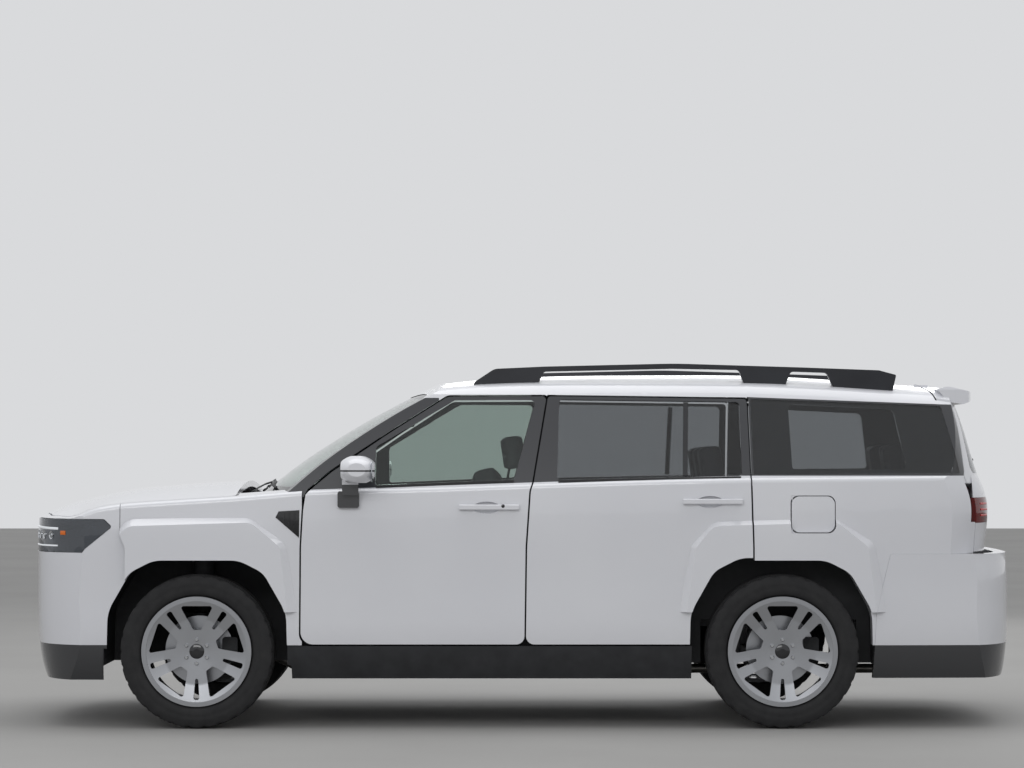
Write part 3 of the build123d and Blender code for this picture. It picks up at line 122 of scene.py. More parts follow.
def tint(tree, shader, dark, light, scale, detail=4.0, low=0.3, high=0.7):
    """Slow variation between two colours, from noise of the given scale per metre."""
    noise = add(tree, "TexNoise", {"Vector": place(tree)}, {"Scale": scale, "Detail": detail})
    ramp = add(tree, "ValToRGB", {"Fac": noise.outputs["Fac"]})
    ramp.color_ramp.elements[0].position = low
    ramp.color_ramp.elements[0].color = linear(dark)
    ramp.color_ramp.elements[1].position = high
    ramp.color_ramp.elements[1].color = linear(light)
    tree.links.new(ramp.outputs["Color"], shader.inputs["Base Color"])
    return ramp.outputs["Color"]


def grain(tree, shader, scale, distance, strength=1.0, kind="TexNoise"):
    """Fine relief of the given scale per metre and depth in metres."""
    source = add(tree, kind, {"Vector": place(tree)}, {"Scale": scale})
    height = source.outputs["Fac" if kind == "TexNoise" else "Distance"]
    bump = add(tree, "Bump", {"Height": height}, {"Strength": strength, "Distance": distance})
    tree.links.new(bump.outputs["Normal"], shader.inputs["Normal"])


def wear(tree, shader, low, high, scale=9.0):
    """Roughness that drifts between two values, as hands, dust and washing leave it."""
    noise = add(tree, "TexNoise", {"Vector": place(tree)}, {"Scale": scale, "Detail": 6.0})
    spread = add(tree, "MapRange", {"Value": noise.outputs["Fac"]}, {"To Min": low, "To Max": high})
    tree.links.new(spread.outputs["Result"], shader.inputs["Roughness"])


# %% [markdown]
# A mid-grey painted floor under a pale backdrop, one wide soft box overhead and two weaker ones at the sides:
# the light a car studio uses. Small lamps would put hard spots on the enamel; wide boxes lay long soft
# highlights along the shoulders, and white paint doesn't burn out.

# %% Floor, backdrop and lamps
FLOOR_SIZE = 40.0


def floor_finish():
    material, tree, shader = surface("matt_floor_paint", "#989795", Roughness=0.85)
    tint(tree, shader, "#949391", "#9B9A98", 0.6)
    return material


floor_mesh = bmesh.new()
bmesh.ops.create_grid(floor_mesh, x_segments=1, y_segments=1, size=FLOOR_SIZE)
floor_data = bpy.data.meshes.new("floor")
floor_mesh.to_mesh(floor_data)
floor = bpy.data.objects.new("floor", floor_data)
bpy.context.scene.collection.objects.link(floor)
floor_data.materials.append(floor_finish())
floor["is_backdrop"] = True

world = bpy.data.worlds.new("studio")
world.use_nodes = True
bpy.context.scene.world = world
background = world.node_tree.nodes["Background"]
background.inputs["Color"].default_value = linear("#D9DADC")
background.inputs["Strength"].default_value = 1.0


def soft_box(name, spot, aim, width, height, power):
    lamp = bpy.data.lights.new(name, "AREA")
    lamp.shape = "RECTANGLE"
    lamp.size = width
    lamp.size_y = height
    lamp.energy = power
    holder = bpy.data.objects.new(name, lamp)
    holder.location = spot
    holder.rotation_euler = (Vector(aim) - Vector(spot)).to_track_quat("-Z", "Y").to_euler()
    bpy.context.scene.collection.objects.link(holder)


soft_box("overhead_box", (0, 0, 7.0), (0, 0, 0), 9.0, 5.0, 210)
soft_box("left_box", (-2.0, -9.0, 4.5), (0, 0, 0.8), 7.0, 2.5, 170)
soft_box("right_box", (2.0, 9.0, 4.5), (0, 0, 0.8), 7.0, 2.5, 150)
bpy.context.scene.view_settings.view_transform = "Standard"
print("floor, backdrop and three soft boxes")

# %% [markdown]
# Car paint is a pigmented base under a clear coat. The pigment gives the even white, the coat gives the
# sharp reflection over it. The doors carry gloss black film round their windows, the windscreen pillars are
# covered in it, and the bumpers end in bare grained plastic. Separate meshes would leave steps where the real
# ones are flush, so these finishes share one recipe with a mask by place.

# %% Body paint
FILM_BLACK = "#1A1C22"
BARE_PLASTIC = "#26272A"
WINDOW_LINE = (1.180, 0.033, 1.214)  # the film's lower edge: its height at x = 0, its slope, its highest
BARE_EDGE_Z = 0.40  # the bumpers are unpainted below this height
PILLAR_END_X = -0.40
PILLAR_TOP_Z = 1.592


def above_line(tree, start, slope, cap):
    """1 above a line that rises towards the tail until it reaches the cap height, else 0."""
    axes = add(tree, "SeparateXYZ", {"Vector": place(tree)})
    rise = add(tree, "Math", {0: axes.outputs["X"]}, {1: slope, 2: start}, operation="MULTIPLY_ADD")
    line = add(tree, "Math", {0: rise.outputs["Value"]}, {1: cap}, operation="MINIMUM")
    above = add(tree, "Math", {0: axes.outputs["Z"], 1: line.outputs["Value"]}, operation="GREATER_THAN")
    return above.outputs["Value"]


def pillar_film(tree):
    """1 on the windscreen pillars, which lie ahead of the roof and below its front edge, else 0."""
    axes = add(tree, "SeparateXYZ", {"Vector": place(tree)})
    ahead = add(tree, "Math", {0: axes.outputs["X"]}, {1: PILLAR_END_X}, operation="LESS_THAN")
    below = add(tree, "Math", {0: axes.outputs["Z"]}, {1: PILLAR_TOP_Z}, operation="LESS_THAN")
    return add(tree, "Math", {0: ahead.outputs["Value"], 1: below.outputs["Value"]},
               operation="MULTIPLY").outputs["Value"]


def enamel(name, film_from=None, bare_below=None, film_pillars=False):
    """White paint, with black film above a line or on the pillars, or bare plastic below a height."""
    material, tree, shader = surface(name, "#D4D5DA", Roughness=0.34, Coat_Weight=1.0, Coat_Roughness=0.04)
    colour = tint(tree, shader, "#D1D2D7", "#D6D7DB", 1.4)
    if film_from or film_pillars:
        mask = above_line(tree, *film_from) if film_from else pillar_film(tree)
        mixed = add(tree, "Mix", {0: mask, 6: colour}, {7: linear(FILM_BLACK)}, data_type="RGBA")
        colour = mixed.outputs[2]
    if bare_below:
        axes = add(tree, "SeparateXYZ", {"Vector": place(tree)})
        mask = add(tree, "Math", {0: axes.outputs["Z"]}, {1: bare_below}, operation="LESS_THAN").outputs["Value"]
        colour = add(tree, "Mix", {0: mask, 6: colour}, {7: linear(BARE_PLASTIC)}, data_type="RGBA").outputs[2]
        roughness = add(tree, "MapRange", {"Value": mask}, {"To Min": 0.3, "To Max": 0.6})
        tree.links.new(roughness.outputs["Result"], shader.inputs["Roughness"])
    tree.links.new(colour, shader.inputs["Base Color"])
    grain(tree, shader, 260.0, 0.00003, 0.25)
    return material


plain_enamel = enamel("white_enamel")
door_enamel = enamel("white_enamel_with_black_film", film_from=WINDOW_LINE)
bumper_enamel = enamel("white_enamel_over_bare_edge", bare_below=BARE_EDGE_Z)
quarter_enamel = enamel("white_enamel_quarter", film_from=WINDOW_LINE)
roof_enamel = enamel("white_enamel_with_black_pillars", film_pillars=True)
print("five body paints")

# %% [markdown]
# A door mirror is two mouldings: a painted shell above a bare black foot, with the thin dark lens of the
# turn lamp let into the shell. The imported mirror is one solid, so height alone tells the finishes apart.

# %% Mirror enamel
MIRROR_FOOT_TOP_Z = 1.172
REPEATER_Z, REPEATER_HALF = 1.238, 0.004


def mirror_enamel():
    """White shell over a black foot, with the dark slot of the repeater lamp between them."""
    material, tree, shader = surface("white_enamel_over_black_foot", "#D4D5DA", Roughness=0.34, Coat_Weight=1.0)
    height = add(tree, "SeparateXYZ", {"Vector": place(tree)}).outputs["Z"]
    foot = add(tree, "Math", {0: height}, {1: MIRROR_FOOT_TOP_Z}, operation="LESS_THAN").outputs["Value"]
    slot = add(tree, "Math", {0: height}, {1: REPEATER_Z, 2: REPEATER_HALF}, operation="COMPARE").outputs["Value"]
    dark = add(tree, "Math", {0: foot, 1: slot}, operation="MAXIMUM").outputs["Value"]
    white = tint(tree, shader, "#D1D2D7", "#D6D7DB", 1.4)
    mixed = add(tree, "Mix", {0: dark, 6: white}, {7: linear("#17181C")}, data_type="RGBA")
    tree.links.new(mixed.outputs[2], shader.inputs["Base Color"])
    wear(tree, shader, 0.28, 0.4)
    return material


shell_enamel = mirror_enamel()
print("mirror paint:", shell_enamel.name)

# %% [markdown]
# Safety glass is two sheets of float glass with a film between: clear in front with a green tinge from its
# iron, dark grey behind the front doors, where it is dyed for privacy. A transmission shader bends and tints
# what lies behind as a real pane does, which a see-through mix would not. The windscreen's edges carry the
# black enamel border that hides the glue from the sun.

# %% Glass
def pane(name, colour, roughness=0.0):
    material, tree, shader = surface(name, colour, Roughness=roughness, Transmission_Weight=1.0, IOR=1.5)
    wear(tree, shader, 0.0, 0.03, 3.0)
    return material


clear_pane = pane("clear_float_glass", "#BDC8C3")
dark_pane = pane("dyed_privacy_glass", "#A3A6A8")


def bordered_pane(name, colour, bottom, top):
    """A pane whose lower and upper edges carry the black enamel border that hides the glue."""
    material, tree, shader = surface(name, colour, Roughness=0.0, Transmission_Weight=1.0, IOR=1.5)
    height = add(tree, "SeparateXYZ", {"Vector": place(tree)}).outputs["Z"]
    under = add(tree, "Math", {0: height}, {1: bottom}, operation="LESS_THAN").outputs["Value"]
    over = add(tree, "Math", {0: height}, {1: top}, operation="GREATER_THAN").outputs["Value"]
    border = add(tree, "Math", {0: under, 1: over}, operation="ADD").outputs["Value"]
    mixed = add(tree, "Mix", {0: border}, {6: linear(colour), 7: linear("#0B0C0E")}, data_type="RGBA")
    clear = add(tree, "MapRange", {"Value": border}, {"To Min": 1.0, "To Max": 0.0})
    tree.links.new(mixed.outputs[2], shader.inputs["Base Color"])
    tree.links.new(clear.outputs["Result"], shader.inputs["Transmission Weight"])
    wear(tree, shader, 0.0, 0.03, 3.0)
    return material


LOWER_BORDER, UPPER_BORDER = 0.035, 0.03
windscreen_low, windscreen_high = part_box("windscreen")
screen_pane = bordered_pane("windscreen_with_black_border", "#DDEBE4", windscreen_low[2] + LOWER_BORDER,
                            windscreen_high[2] - UPPER_BORDER)
print("three kinds of glass")

# %% [markdown]
# The mouldings are injection moulded plastics: polished ABS for the gloss black pieces, spark-grained
# polypropylene for what stones hit, and a softer slush-moulded skin inside the cabin. The roof rails are
# powder coated. They differ less in colour than in sheen and grain, so each has its own roughness and relief.

# %% Plastics
def gloss_black():
    material, tree, shader = surface("gloss_black_abs", "#101116", Roughness=0.12, Coat_Weight=0.6,
                                     Coat_Roughness=0.04)
    tint(tree, shader, "#0E0F13", "#15161B", 5.0)
    return material


def grained_black():
    material, tree, shader = surface("grained_black_polypropylene", "#202124", Roughness=0.65)
    tint(tree, shader, "#1B1C1F", "#27282B", 14.0)
    grain(tree, shader, 900.0, 0.0003, 0.5)
    return material


def satin_rail():
    material, tree, shader = surface("satin_black_powder_coat", "#222328", Roughness=0.38, Metallic=0.3)
    tint(tree, shader, "#1F2025", "#282A2F", 6.0)
    grain(tree, shader, 700.0, 0.0001, 0.3)
    return material


def cabin_skin():
    material, tree, shader = surface("slush_moulded_cabin_skin", "#2B2C30", Roughness=0.7)
    tint(tree, shader, "#26272B", "#313237", 10.0)
    grain(tree, shader, 450.0, 0.0004, 0.5, "TexVoronoi")
    return material


black_gloss = gloss_black()
black_grain = grained_black()
rail_coat = satin_rail()
cabin_moulding = cabin_skin()
print("four plastics")

# %% [markdown]
# Seats are cut and sewn leather over foam: a pebbled grain, a soft sheen on the raised parts, and shallow
# lines where panels meet. Real pebbles are about 1 mm wide; these are drawn at 3 mm so that they show. Bump is
# enough for them, while the deep sewn channels are pressed into the pads themselves further down.

# %% Leather
def leather(name, dark, light):
    material, tree, shader = surface(name, dark, Roughness=0.5)
    tint(tree, shader, dark, light, 7.0)
    coords = place(tree)
    pebbles = add(tree, "TexVoronoi", {"Vector": coords}, {"Scale": 320.0})
    channels = add(tree, "TexWave", {"Vector": coords}, {"Scale": 2.2, "Distortion": 0.0}, bands_direction="Y")
    groove = add(tree, "MapRange", {"Value": channels.outputs["Fac"]}, {"From Max": 0.12})
    both = add(tree, "Math", {0: pebbles.outputs["Distance"], 2: groove.outputs["Result"]}, {1: 0.12},
               operation="MULTIPLY_ADD")
    bump = add(tree, "Bump", {"Height": both.outputs["Value"]}, {"Strength": 0.6, "Distance": 0.002})
    tree.links.new(bump.outputs["Normal"], shader.inputs["Normal"])
    wear(tree, shader, 0.42, 0.58)
    return material


seat_hide = leather("pebbled_seat_leather", "#3A3B40", "#45464C")
wheel_hide = leather("smooth_black_leather", "#1C1D20", "#232427")
print("two leathers")

# %% [markdown]
# Below the body: cast iron arms and carriers with a dark dip coat, primed pressings, a stainless exhaust, an
# engine block of cast aluminium, and wheels with turned faces under clear lacquer. The lathe only reaches what
# faces outward, so the wheel's bright and dark parts are told apart by the direction of the surface.

# %% Metals
def metal(name, colour, roughness, low, high, scale, depth, metallic=1.0):
    material, tree, shader = surface(name, colour, Metallic=metallic, Roughness=roughness)
    tint(tree, shader, low, high, scale)
    grain(tree, shader, scale * 20.0, depth, 0.5)
    wear(tree, shader, roughness * 0.8, roughness * 1.25, scale)
    return material


dipped_iron = metal("dip_coated_cast_iron", "#3C3D3F", 0.6, "#333436", "#47484A", 16.0, 0.0008, 0.4)
primed_sheet = metal("primed_steel_sheet", "#6B6C6E", 0.55, "#606163", "#747578", 8.0, 0.0002, 0.2)
stainless = metal("stainless_exhaust_tube", "#8C8A86", 0.35, "#7A7874", "#9B9994", 12.0, 0.0001)
cast_alloy = metal("sand_cast_aluminium", "#8A8B8D", 0.5, "#7C7D80", "#96979A", 20.0, 0.0008)


def machined_wheel():
    """Bright turned spoke faces; the pockets between and behind them are dark lacquer."""
    material, tree, shader = surface("machined_wheel_alloy", "#9A9CA0", Metallic=1.0, Roughness=0.28,
                                     Coat_Weight=0.6)
    normal = add(tree, "NewGeometry").outputs["Normal"]
    axes = add(tree, "SeparateXYZ", {"Vector": normal})
    side = add(tree, "Math", {0: axes.outputs["Y"]}, operation="ABSOLUTE").outputs["Value"]
    face = add(tree, "MapRange", {"Value": side}, {"From Min": 0.80, "From Max": 0.9}).outputs["Result"]
    mixed = add(tree, "Mix", {0: face}, {6: linear("#2B2C30"), 7: linear("#A6A8AC")}, data_type="RGBA")
    tree.links.new(mixed.outputs[2], shader.inputs["Base Color"])
    grain(tree, shader, 500.0, 0.00005, 0.4)
    return material


wheel_alloy = machined_wheel()
print("five metals")

# %% [markdown]
# Tyres are moulded black rubber, dull and a little grey with dust. Lamp covers are moulded clear plastic,
# smoked in front and red behind, with a faint ripple from the mould. Part of each is opaque, since the packed
# lamps are solid and hold no bowl to see.

# %% Rubber and lenses
def tyre_rubber():
    material, tree, shader = surface("moulded_tyre_rubber", "#1D1D1E", Roughness=0.82)
    tint(tree, shader, "#18181A", "#232324", 20.0)
    grain(tree, shader, 1200.0, 0.0002, 0.4)
    return material


def lamp_lens(name, colour, weight=1.0):
    material, tree, shader = surface(name, colour, Roughness=0.02, Transmission_Weight=weight, IOR=1.49)
    grain(tree, shader, 3.0, 0.0003, 0.05)
    return material


rubber = tyre_rubber()
smoked_lens = lamp_lens("smoked_polycarbonate_lens", "#6F747B", 0.6)
red_lens = lamp_lens("red_acrylic_lens", "#7A0A0C", 0.5)
print("tyre rubber and two lenses")

# %% [markdown]
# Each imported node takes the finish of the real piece. Its mesh stays as it is and only its material slot
# changes, so that what is seen is also what the collision model holds.

# %% Dress the CAD nodes
finishes = {
    "roof_and_pillars": roof_enamel, "windscreen": screen_pane, "hood": plain_enamel, "grille": black_gloss,
    "front_bumper": bumper_enamel, "rear_bumper": bumper_enamel, "tailgate": plain_enamel,
    "tailgate_glass": dark_pane, "cowl": black_grain, "firewall": primed_sheet, "floor_pan": primed_sheet,
    "front_structure": primed_sheet, "engine_block": cast_alloy, "fuel_tank": black_grain, "exhaust": stainless,
    "front_suspension": dipped_iron, "rear_suspension": dipped_iron, "dashboard": cabin_moulding,
    "steering_wheel": wheel_hide, "second_row_seats": seat_hide, "third_row_seats": seat_hide,
    "front_seats": seat_hide, "fuel_door": plain_enamel, "rear_quarters": quarter_enamel,
    "quarter_windows": dark_pane, "sills": black_grain, "hinge_pillars": cabin_moulding,
    "centre_pillars": cabin_moulding, "headlamps": smoked_lens, "front_fenders": plain_enamel,
    "tail_lamps": red_lens, "roof_rails": rail_coat, "front_liners": black_grain, "rear_liners": black_grain}
sided = {"front_door": door_enamel, "rear_door": door_enamel, "door_mirror": shell_enamel,
         "front_door_glass": clear_pane, "rear_door_glass": dark_pane, "front_knuckle": dipped_iron,
         "wheel_front": wheel_alloy, "wheel_rear": wheel_alloy, "tyre_front": rubber, "tyre_rear": rubber}
for stem, finish in sided.items():
    finishes[stem + "_left"] = finish
    finishes[stem + "_right"] = finish
for name, finish in finishes.items():
    nodes[name].data.materials.clear()
    nodes[name].data.materials.append(finish)
print("dressed", len(finishes), "of", len(nodes), "nodes")

# %% [markdown]
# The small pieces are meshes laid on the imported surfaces. They could be placed by typed heights, but then
# they would float or sink wherever a panel curves. A ray against the panel gives the point and the outward
# direction instead, so strips, patches and bolts follow the panel on both sides of the car.

# %% Mesh helpers
trees = {}


def surface_of(name):
    """The panel's mesh as a tree for rays; every node sits at the origin, so its points are in place."""
    if name not in trees:
        mesh = nodes[name].data
        trees[name] = BVHTree.FromPolygons([v.co for v in mesh.vertices], [p.vertices for p in mesh.polygons])
    return trees[name]


def hit(names, start, direction):
    """The nearest point and outward direction on any of the named panels."""
    best = None
    for name in names:
        point, normal, _, distance = surface_of(name).ray_cast(Vector(start), Vector(direction))
        if point is not None and (best is None or distance < best[2]):
            best = (point, normal if normal.dot(Vector(direction)) < 0 else -normal, distance)
    return best[:2] if best else None


def side_hit(names, x, z, side):
    return hit(names, (x, side * 1.6, z), (0, -side, 0))


def make(name, mesh, finish, body, crease=35.0):
    """Turns a bmesh into a piece that rides on a body."""
    bmesh.ops.remove_doubles(mesh, verts=mesh.verts, dist=1e-6)
    bmesh.ops.recalc_face_normals(mesh, faces=mesh.faces)
    data = bpy.data.meshes.new(name)
    mesh.to_mesh(data)
    mesh.free()
    for polygon in data.polygons:
        polygon.use_smooth = True
    data.set_sharp_from_angle(angle=math.radians(crease))
    data.materials.append(finish)
    piece = bpy.data.objects.new(name, data)
    bpy.context.scene.collection.objects.link(piece)
    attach(piece, body)
    return piece


def tube_rows(mesh, rows):
    """Grows a closed outline from row to row by extruding its edges, then caps both ends."""
    ring = [mesh.verts.new(point) for point in rows[0]]
    edges = [mesh.edges.new((ring[k - 1], ring[k])) for k in range(len(ring))]
    mesh.faces.new(ring)
    for row in rows[1:]:
        grown = bmesh.ops.extrude_edge_only(mesh, edges=edges)["geom"]
        fresh = {item for item in grown if isinstance(item, bmesh.types.BMVert)}
        ring = [next(e.other_vert(v) for e in v.link_edges if e.other_vert(v) in fresh) for v in ring]
        edges = [mesh.edges.get((ring[k - 1], ring[k])) for k in range(len(ring))]
        for vertex, point in zip(ring, row):
            vertex.co = point
    mesh.faces.new(ring)


def rounded_profile(width, height, sides=12, power=4.0):
    """A soft-cornered closed outline, width across and height out from the surface."""
    outline = []
    for k in range(sides):
        angle = 2 * math.pi * k / sides
        c, s = math.cos(angle), math.sin(angle)
        outline.append((math.copysign(abs(c) ** (2 / power), c) * width / 2,
                        math.copysign(abs(s) ** (2 / power), s) * height / 2))
    return outline


def sweep(mesh, path, outward, width, height):
    """Carries a rounded profile along points whose outward directions are given."""
    rows = []
    last = len(path) - 1
    for k, (point, out) in enumerate(zip(path, outward)):
        along = (path[min(k + 1, last)] - path[max(k - 1, 0)]).normalized()
        across = along.cross(out).normalized()
        rows.append([point + across * u + out * v for u, v in rounded_profile(width, height)])
    tube_rows(mesh, rows)


def along_line(corners, step=0.025):
    """Points at even steps along a run of straight lines."""
    points = []
    for a, b in zip(corners, corners[1:]):
        a, b = Vector(a), Vector(b)
        count = max(1, round((b - a).length / step))
        points += [a.lerp(b, k / count) for k in range(count)]
    return points + [Vector(corners[-1])]


def side_strip(mesh, names, corners, side, width, height, lift=0.0):
    """A strip on the body side along (x, z) corners."""
    hits = [found for found in (side_hit(names, p.x, p.y, side) for p in along_line(corners)) if found]
    sweep(mesh, [point + normal * lift for point, normal in hits], [normal for _, normal in hits], width, height)


def ruled_patch(mesh, names, low_line, high_line, side, lift, thick, across=10, up=8):
    """A thin plate on the body side between two (x, z) lines: a grid laid on the panel, then solidified."""
    feet, heads = [Vector(p) for p in low_line], [Vector(p) for p in high_line]
    grid = bmesh.ops.create_grid(mesh, x_segments=across, y_segments=up, size=1.0)["verts"]
    for vertex in grid:
        u, v = (vertex.co.x + 1) / 2, (vertex.co.y + 1) / 2
        spot = feet[0].lerp(feet[1], u).lerp(heads[0].lerp(heads[1], u), v)
        point, normal = side_hit(names, spot.x, spot.y, side)
        vertex.co = point + normal * lift
    bmesh.ops.recalc_face_normals(mesh, faces=mesh.faces)
    if mesh.faces[:][0].normal.y * side < 0:
        bmesh.ops.reverse_faces(mesh, faces=mesh.faces)
    bmesh.ops.solidify(mesh, geom=mesh.faces[:], thickness=thick)


def turned(mesh, centre, axis, profile, sides=24):
    """A turned shape: (along, radius) points joined by edges and spun round the axis."""
    axis = Vector(axis).normalized()
    arm = axis.orthogonal().normalized()
    verts = [mesh.verts.new(Vector(centre) + axis * along + arm * radius) for along, radius in profile]
    edges = [mesh.edges.new(pair) for pair in zip(verts, verts[1:])]
    bmesh.ops.spin(mesh, geom=verts + edges, cent=centre, axis=axis, angle=2 * math.pi, steps=sides,
                   use_merge=True)


def soft_block(mesh, low, high, bevel, segments=3):
    """A block between two corners with rounded edges."""
    low, high = Vector(low), Vector(high)
    made = bmesh.ops.create_cube(mesh, size=1.0)["verts"]
    bmesh.ops.scale(mesh, vec=high - low, verts=made)
    bmesh.ops.translate(mesh, vec=(low + high) / 2, verts=made)
    edges = {edge for vert in made for edge in vert.link_edges}
    bmesh.ops.bevel(mesh, geom=list(edges), offset=bevel, segments=segments, profile=0.7, affect="EDGES")


SIDES = {"left": -1, "right": 1}
chrome = metal("polished_bright_trim", "#C9CBCE", 0.12, "#C2C4C7", "#D0D2D5", 6.0, 0.00002)
mirror_face = metal("silvered_mirror_glass", "#B9BDC2", 0.03, "#B4B8BD", "#BEC2C7", 2.0, 0.000005)
seal_rubber, seal_tree, seal_shader = surface("extruded_seal_rubber", "#17181A", Roughness=0.7)
tint(seal_tree, seal_shader, "#141517", "#1B1C1E", 30.0)
print("bright trim, mirror silver and seal rubber")

# %% [markdown]
# The black garnish behind each front wheel is a blind vent with three blades, set against the door's
# leading edge. A grid dropped on the fender and solidified keeps the fender's curve; a flat plate would not.

# %% Fender garnish
GARNISH_FOOT = ((-1.181, 1.014), (-1.068, 0.916))
GARNISH_HEAD = ((-1.166, 1.043), (-1.066, 1.049))
GARNISH_BLADES = ((-1.142, 0.994, 1.036), (-1.117, 0.972, 1.038), (-1.092, 0.950, 1.040))

for side_name, side in SIDES.items():
    mesh = bmesh.new()
    ruled_patch(mesh, ["front_fenders"], GARNISH_FOOT, GARNISH_HEAD, side, 0.002, 0.006)
    for x, z_low, z_high in GARNISH_BLADES:
        side_strip(mesh, ["front_fenders"], ((x, z_low), (x + 0.004, z_high)), side, 0.006, 0.006, 0.002)
    make(f"fender_garnish_{side_name}", mesh, black_gloss, "body")
print("two fender garnishes with three blades each")

# %% [markdown]
# Each door window stands on a rubber belt seal, which wipes the sliding pane. The rear window is split by an
# upright bar, with a fixed light behind it. A round sensor sits in the front pull handle. All of them are
# profiles swept along the surface, since the real ones are extrusions.

# %% Door seals, window bars and handle sensors
SEAL_ENDS = (("front", 0.099, 0.027), ("rear", 0.004, 0.018))  # short of the glass's rear edge, rise on the way
SEAL_DROP = 0.008
BAR_FOOT_X, BAR_HEAD_X = 0.789, 0.800
SENSOR_SPOT = (-0.088, 1.069)
SENSOR = ((-0.002, 0), (-0.002, 0.0085), (0.001, 0.0085), (0.0016, 0.0072), (0.0016, 0))

for side_name, side in SIDES.items():
    for end, stop, rise in SEAL_ENDS:
        low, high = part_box(f"{end}_door_glass_{side_name}")
        foot = low[2] - SEAL_DROP
        mesh = bmesh.new()
        side_strip(mesh, [f"{end}_door_{side_name}", f"{end}_door_glass_{side_name}"],
                   ((low[0] + 0.004, foot), (high[0] - stop, foot + rise)), side, 0.014, 0.006)
        make(f"{end}_belt_seal_{side_name}", mesh, seal_rubber, f"{end}_door_{side_name}")
    low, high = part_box(f"rear_door_glass_{side_name}")
    mesh = bmesh.new()
    side_strip(mesh, [f"rear_door_glass_{side_name}"],
               ((BAR_FOOT_X, low[2] + 0.018), (BAR_HEAD_X, high[2] - 0.014)), side, 0.024, 0.005, 0.001)
    make(f"window_bar_{side_name}", mesh, black_gloss, f"rear_door_{side_name}")
    mesh = bmesh.new()
    point, normal = side_hit([f"front_door_{side_name}"], *SENSOR_SPOT, side)
    turned(mesh, point, normal, SENSOR)
    make(f"handle_sensor_{side_name}", mesh, black_gloss, f"front_door_{side_name}")
print("four belt seals, two window bars, two sensors")

# %% [markdown]
# The mirror glass is silvered on its back and lies on the rear face of each shell. A block with a fine bevel
# gives it the ground edge that catches the light.

# %% Mirror glass
MIRROR_LOW_Z = 1.186
MIRROR_HALF_THICK = 0.002

for side_name, side in SIDES.items():
    low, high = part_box(f"door_mirror_{side_name}")
    outer = low[1] if side < 0 else high[1]
    mesh = bmesh.new()
    grid_y = [outer - side * 0.016 - side * k * 0.02 for k in range(8)]
    grid_z = [MIRROR_LOW_Z + k * 0.0155 for k in range(7)]
    hits = [hit([f"door_mirror_{side_name}"], (high[0] + 0.3, y, z), (-1, 0, 0))[0].x
            for y, z in ((grid_y[1], grid_z[1]), (grid_y[-2], grid_z[1]), (grid_y[3], grid_z[3]))]
    back = sorted(hits)[1]
    soft_block(mesh, (back - MIRROR_HALF_THICK, min(grid_y), grid_z[0]),
               (back + MIRROR_HALF_THICK, max(grid_y), grid_z[-1]), 0.0015, 2)
    make(f"mirror_glass_{side_name}", mesh, mirror_face, f"front_door_{side_name}")
print("two mirror glasses")

# %% [markdown]
# Tyres: a moulded carcass with a flat crown, four straight grooves, cross sipes on the shoulders that are
# staggered from side to side, and a raised ring on each wall. Bump alone would leave a smooth outline against
# the floor, so the section is spun and its shoulder rows are sunk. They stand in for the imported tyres, size
# for size.

# %% Tyres
TREAD_STEPS = 180
GROOVE = 0.0075
RIBS = (0.0, 0.043, 0.089)
RIB_HALVES = (0.009, 0.013, 0.012)
SHOULDER = 0.074  # the sipes lie farther than this from the middle
TREAD_ZONE = 0.012
SIPE_EVERY = 6
SIPE_DEPTH = 0.8 * GROOVE


def tread_section(half, radius):
    """Half of the tyre's section from the bead to the middle groove, as (across, radius) points."""
    wall = [(half * 0.84, radius - 0.104), (half * 0.93, radius - 0.092), (half * 0.985, radius - 0.066),
            (half * 0.97, radius - 0.060), (half * 0.995, radius - 0.050), (half * 0.985, radius - 0.036),
            (half * 0.955, radius - 0.018), (0.116, radius - 0.007)]
    for rib, width in reversed(list(zip(RIBS, RIB_HALVES))):
        crown = radius - 0.0004 - 0.004 * (rib / 0.1) ** 2
        if rib:
            wall += [(rib + width, crown), (rib - width, crown)]
            wall += [(rib - width - 0.003, crown - GROOVE), (RIBS[RIBS.index(rib) - 1] + 0.016, crown - GROOVE)]
        else:
            wall.append((width, crown))
    return wall


def tyre_mesh(low, high):
    """Spins the section, then sinks every sixth row of the shoulders as cross sipes."""
    radius = (high[2] - low[2]) / 2
    middle = (Vector(low) + Vector(high)) / 2
    section = tread_section((high[1] - low[1]) / 2, radius)
    section += [(-across, r) for across, r in reversed(section)]
    mesh = bmesh.new()
    verts = [mesh.verts.new(middle + Vector((0, across, r))) for across, r in section]
    edges = [mesh.edges.new(pair) for pair in zip(verts, verts[1:] + verts[:1])]
    bmesh.ops.spin(mesh, geom=verts + edges, cent=middle, axis=(0, 1, 0), angle=2 * math.pi, steps=TREAD_STEPS,
                   use_merge=True)
    for vertex in mesh.verts:
        arm = vertex.co - middle
        reach = math.hypot(arm.x, arm.z)
        step = round(math.atan2(arm.z, arm.x) / (2 * math.pi) * TREAD_STEPS)
        row = step + (SIPE_EVERY // 2 if arm.y > 0 else 0)
        if abs(arm.y) > SHOULDER and reach > radius - TREAD_ZONE and row % SIPE_EVERY == 0:
            vertex.co = middle + Vector((arm.x, 0, arm.z)) * (1 - SIPE_DEPTH / reach) + Vector((0, arm.y, 0))
    return mesh


for end in ("front", "rear"):
    for side_name in SIDES:
        node = f"tyre_{end}_{side_name}"
        piece = make(f"treaded_{node}", tyre_mesh(*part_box(node)), rubber, f"{end}_wheel_{side_name}", 50.0)
        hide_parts(node)
print("four tyres of", len(piece.data.polygons), "faces")

# %% [markdown]
# Six plated nuts and a blank pressed cap close each hub. A nut is a turned profile spun in six steps, which
# gives its flats.

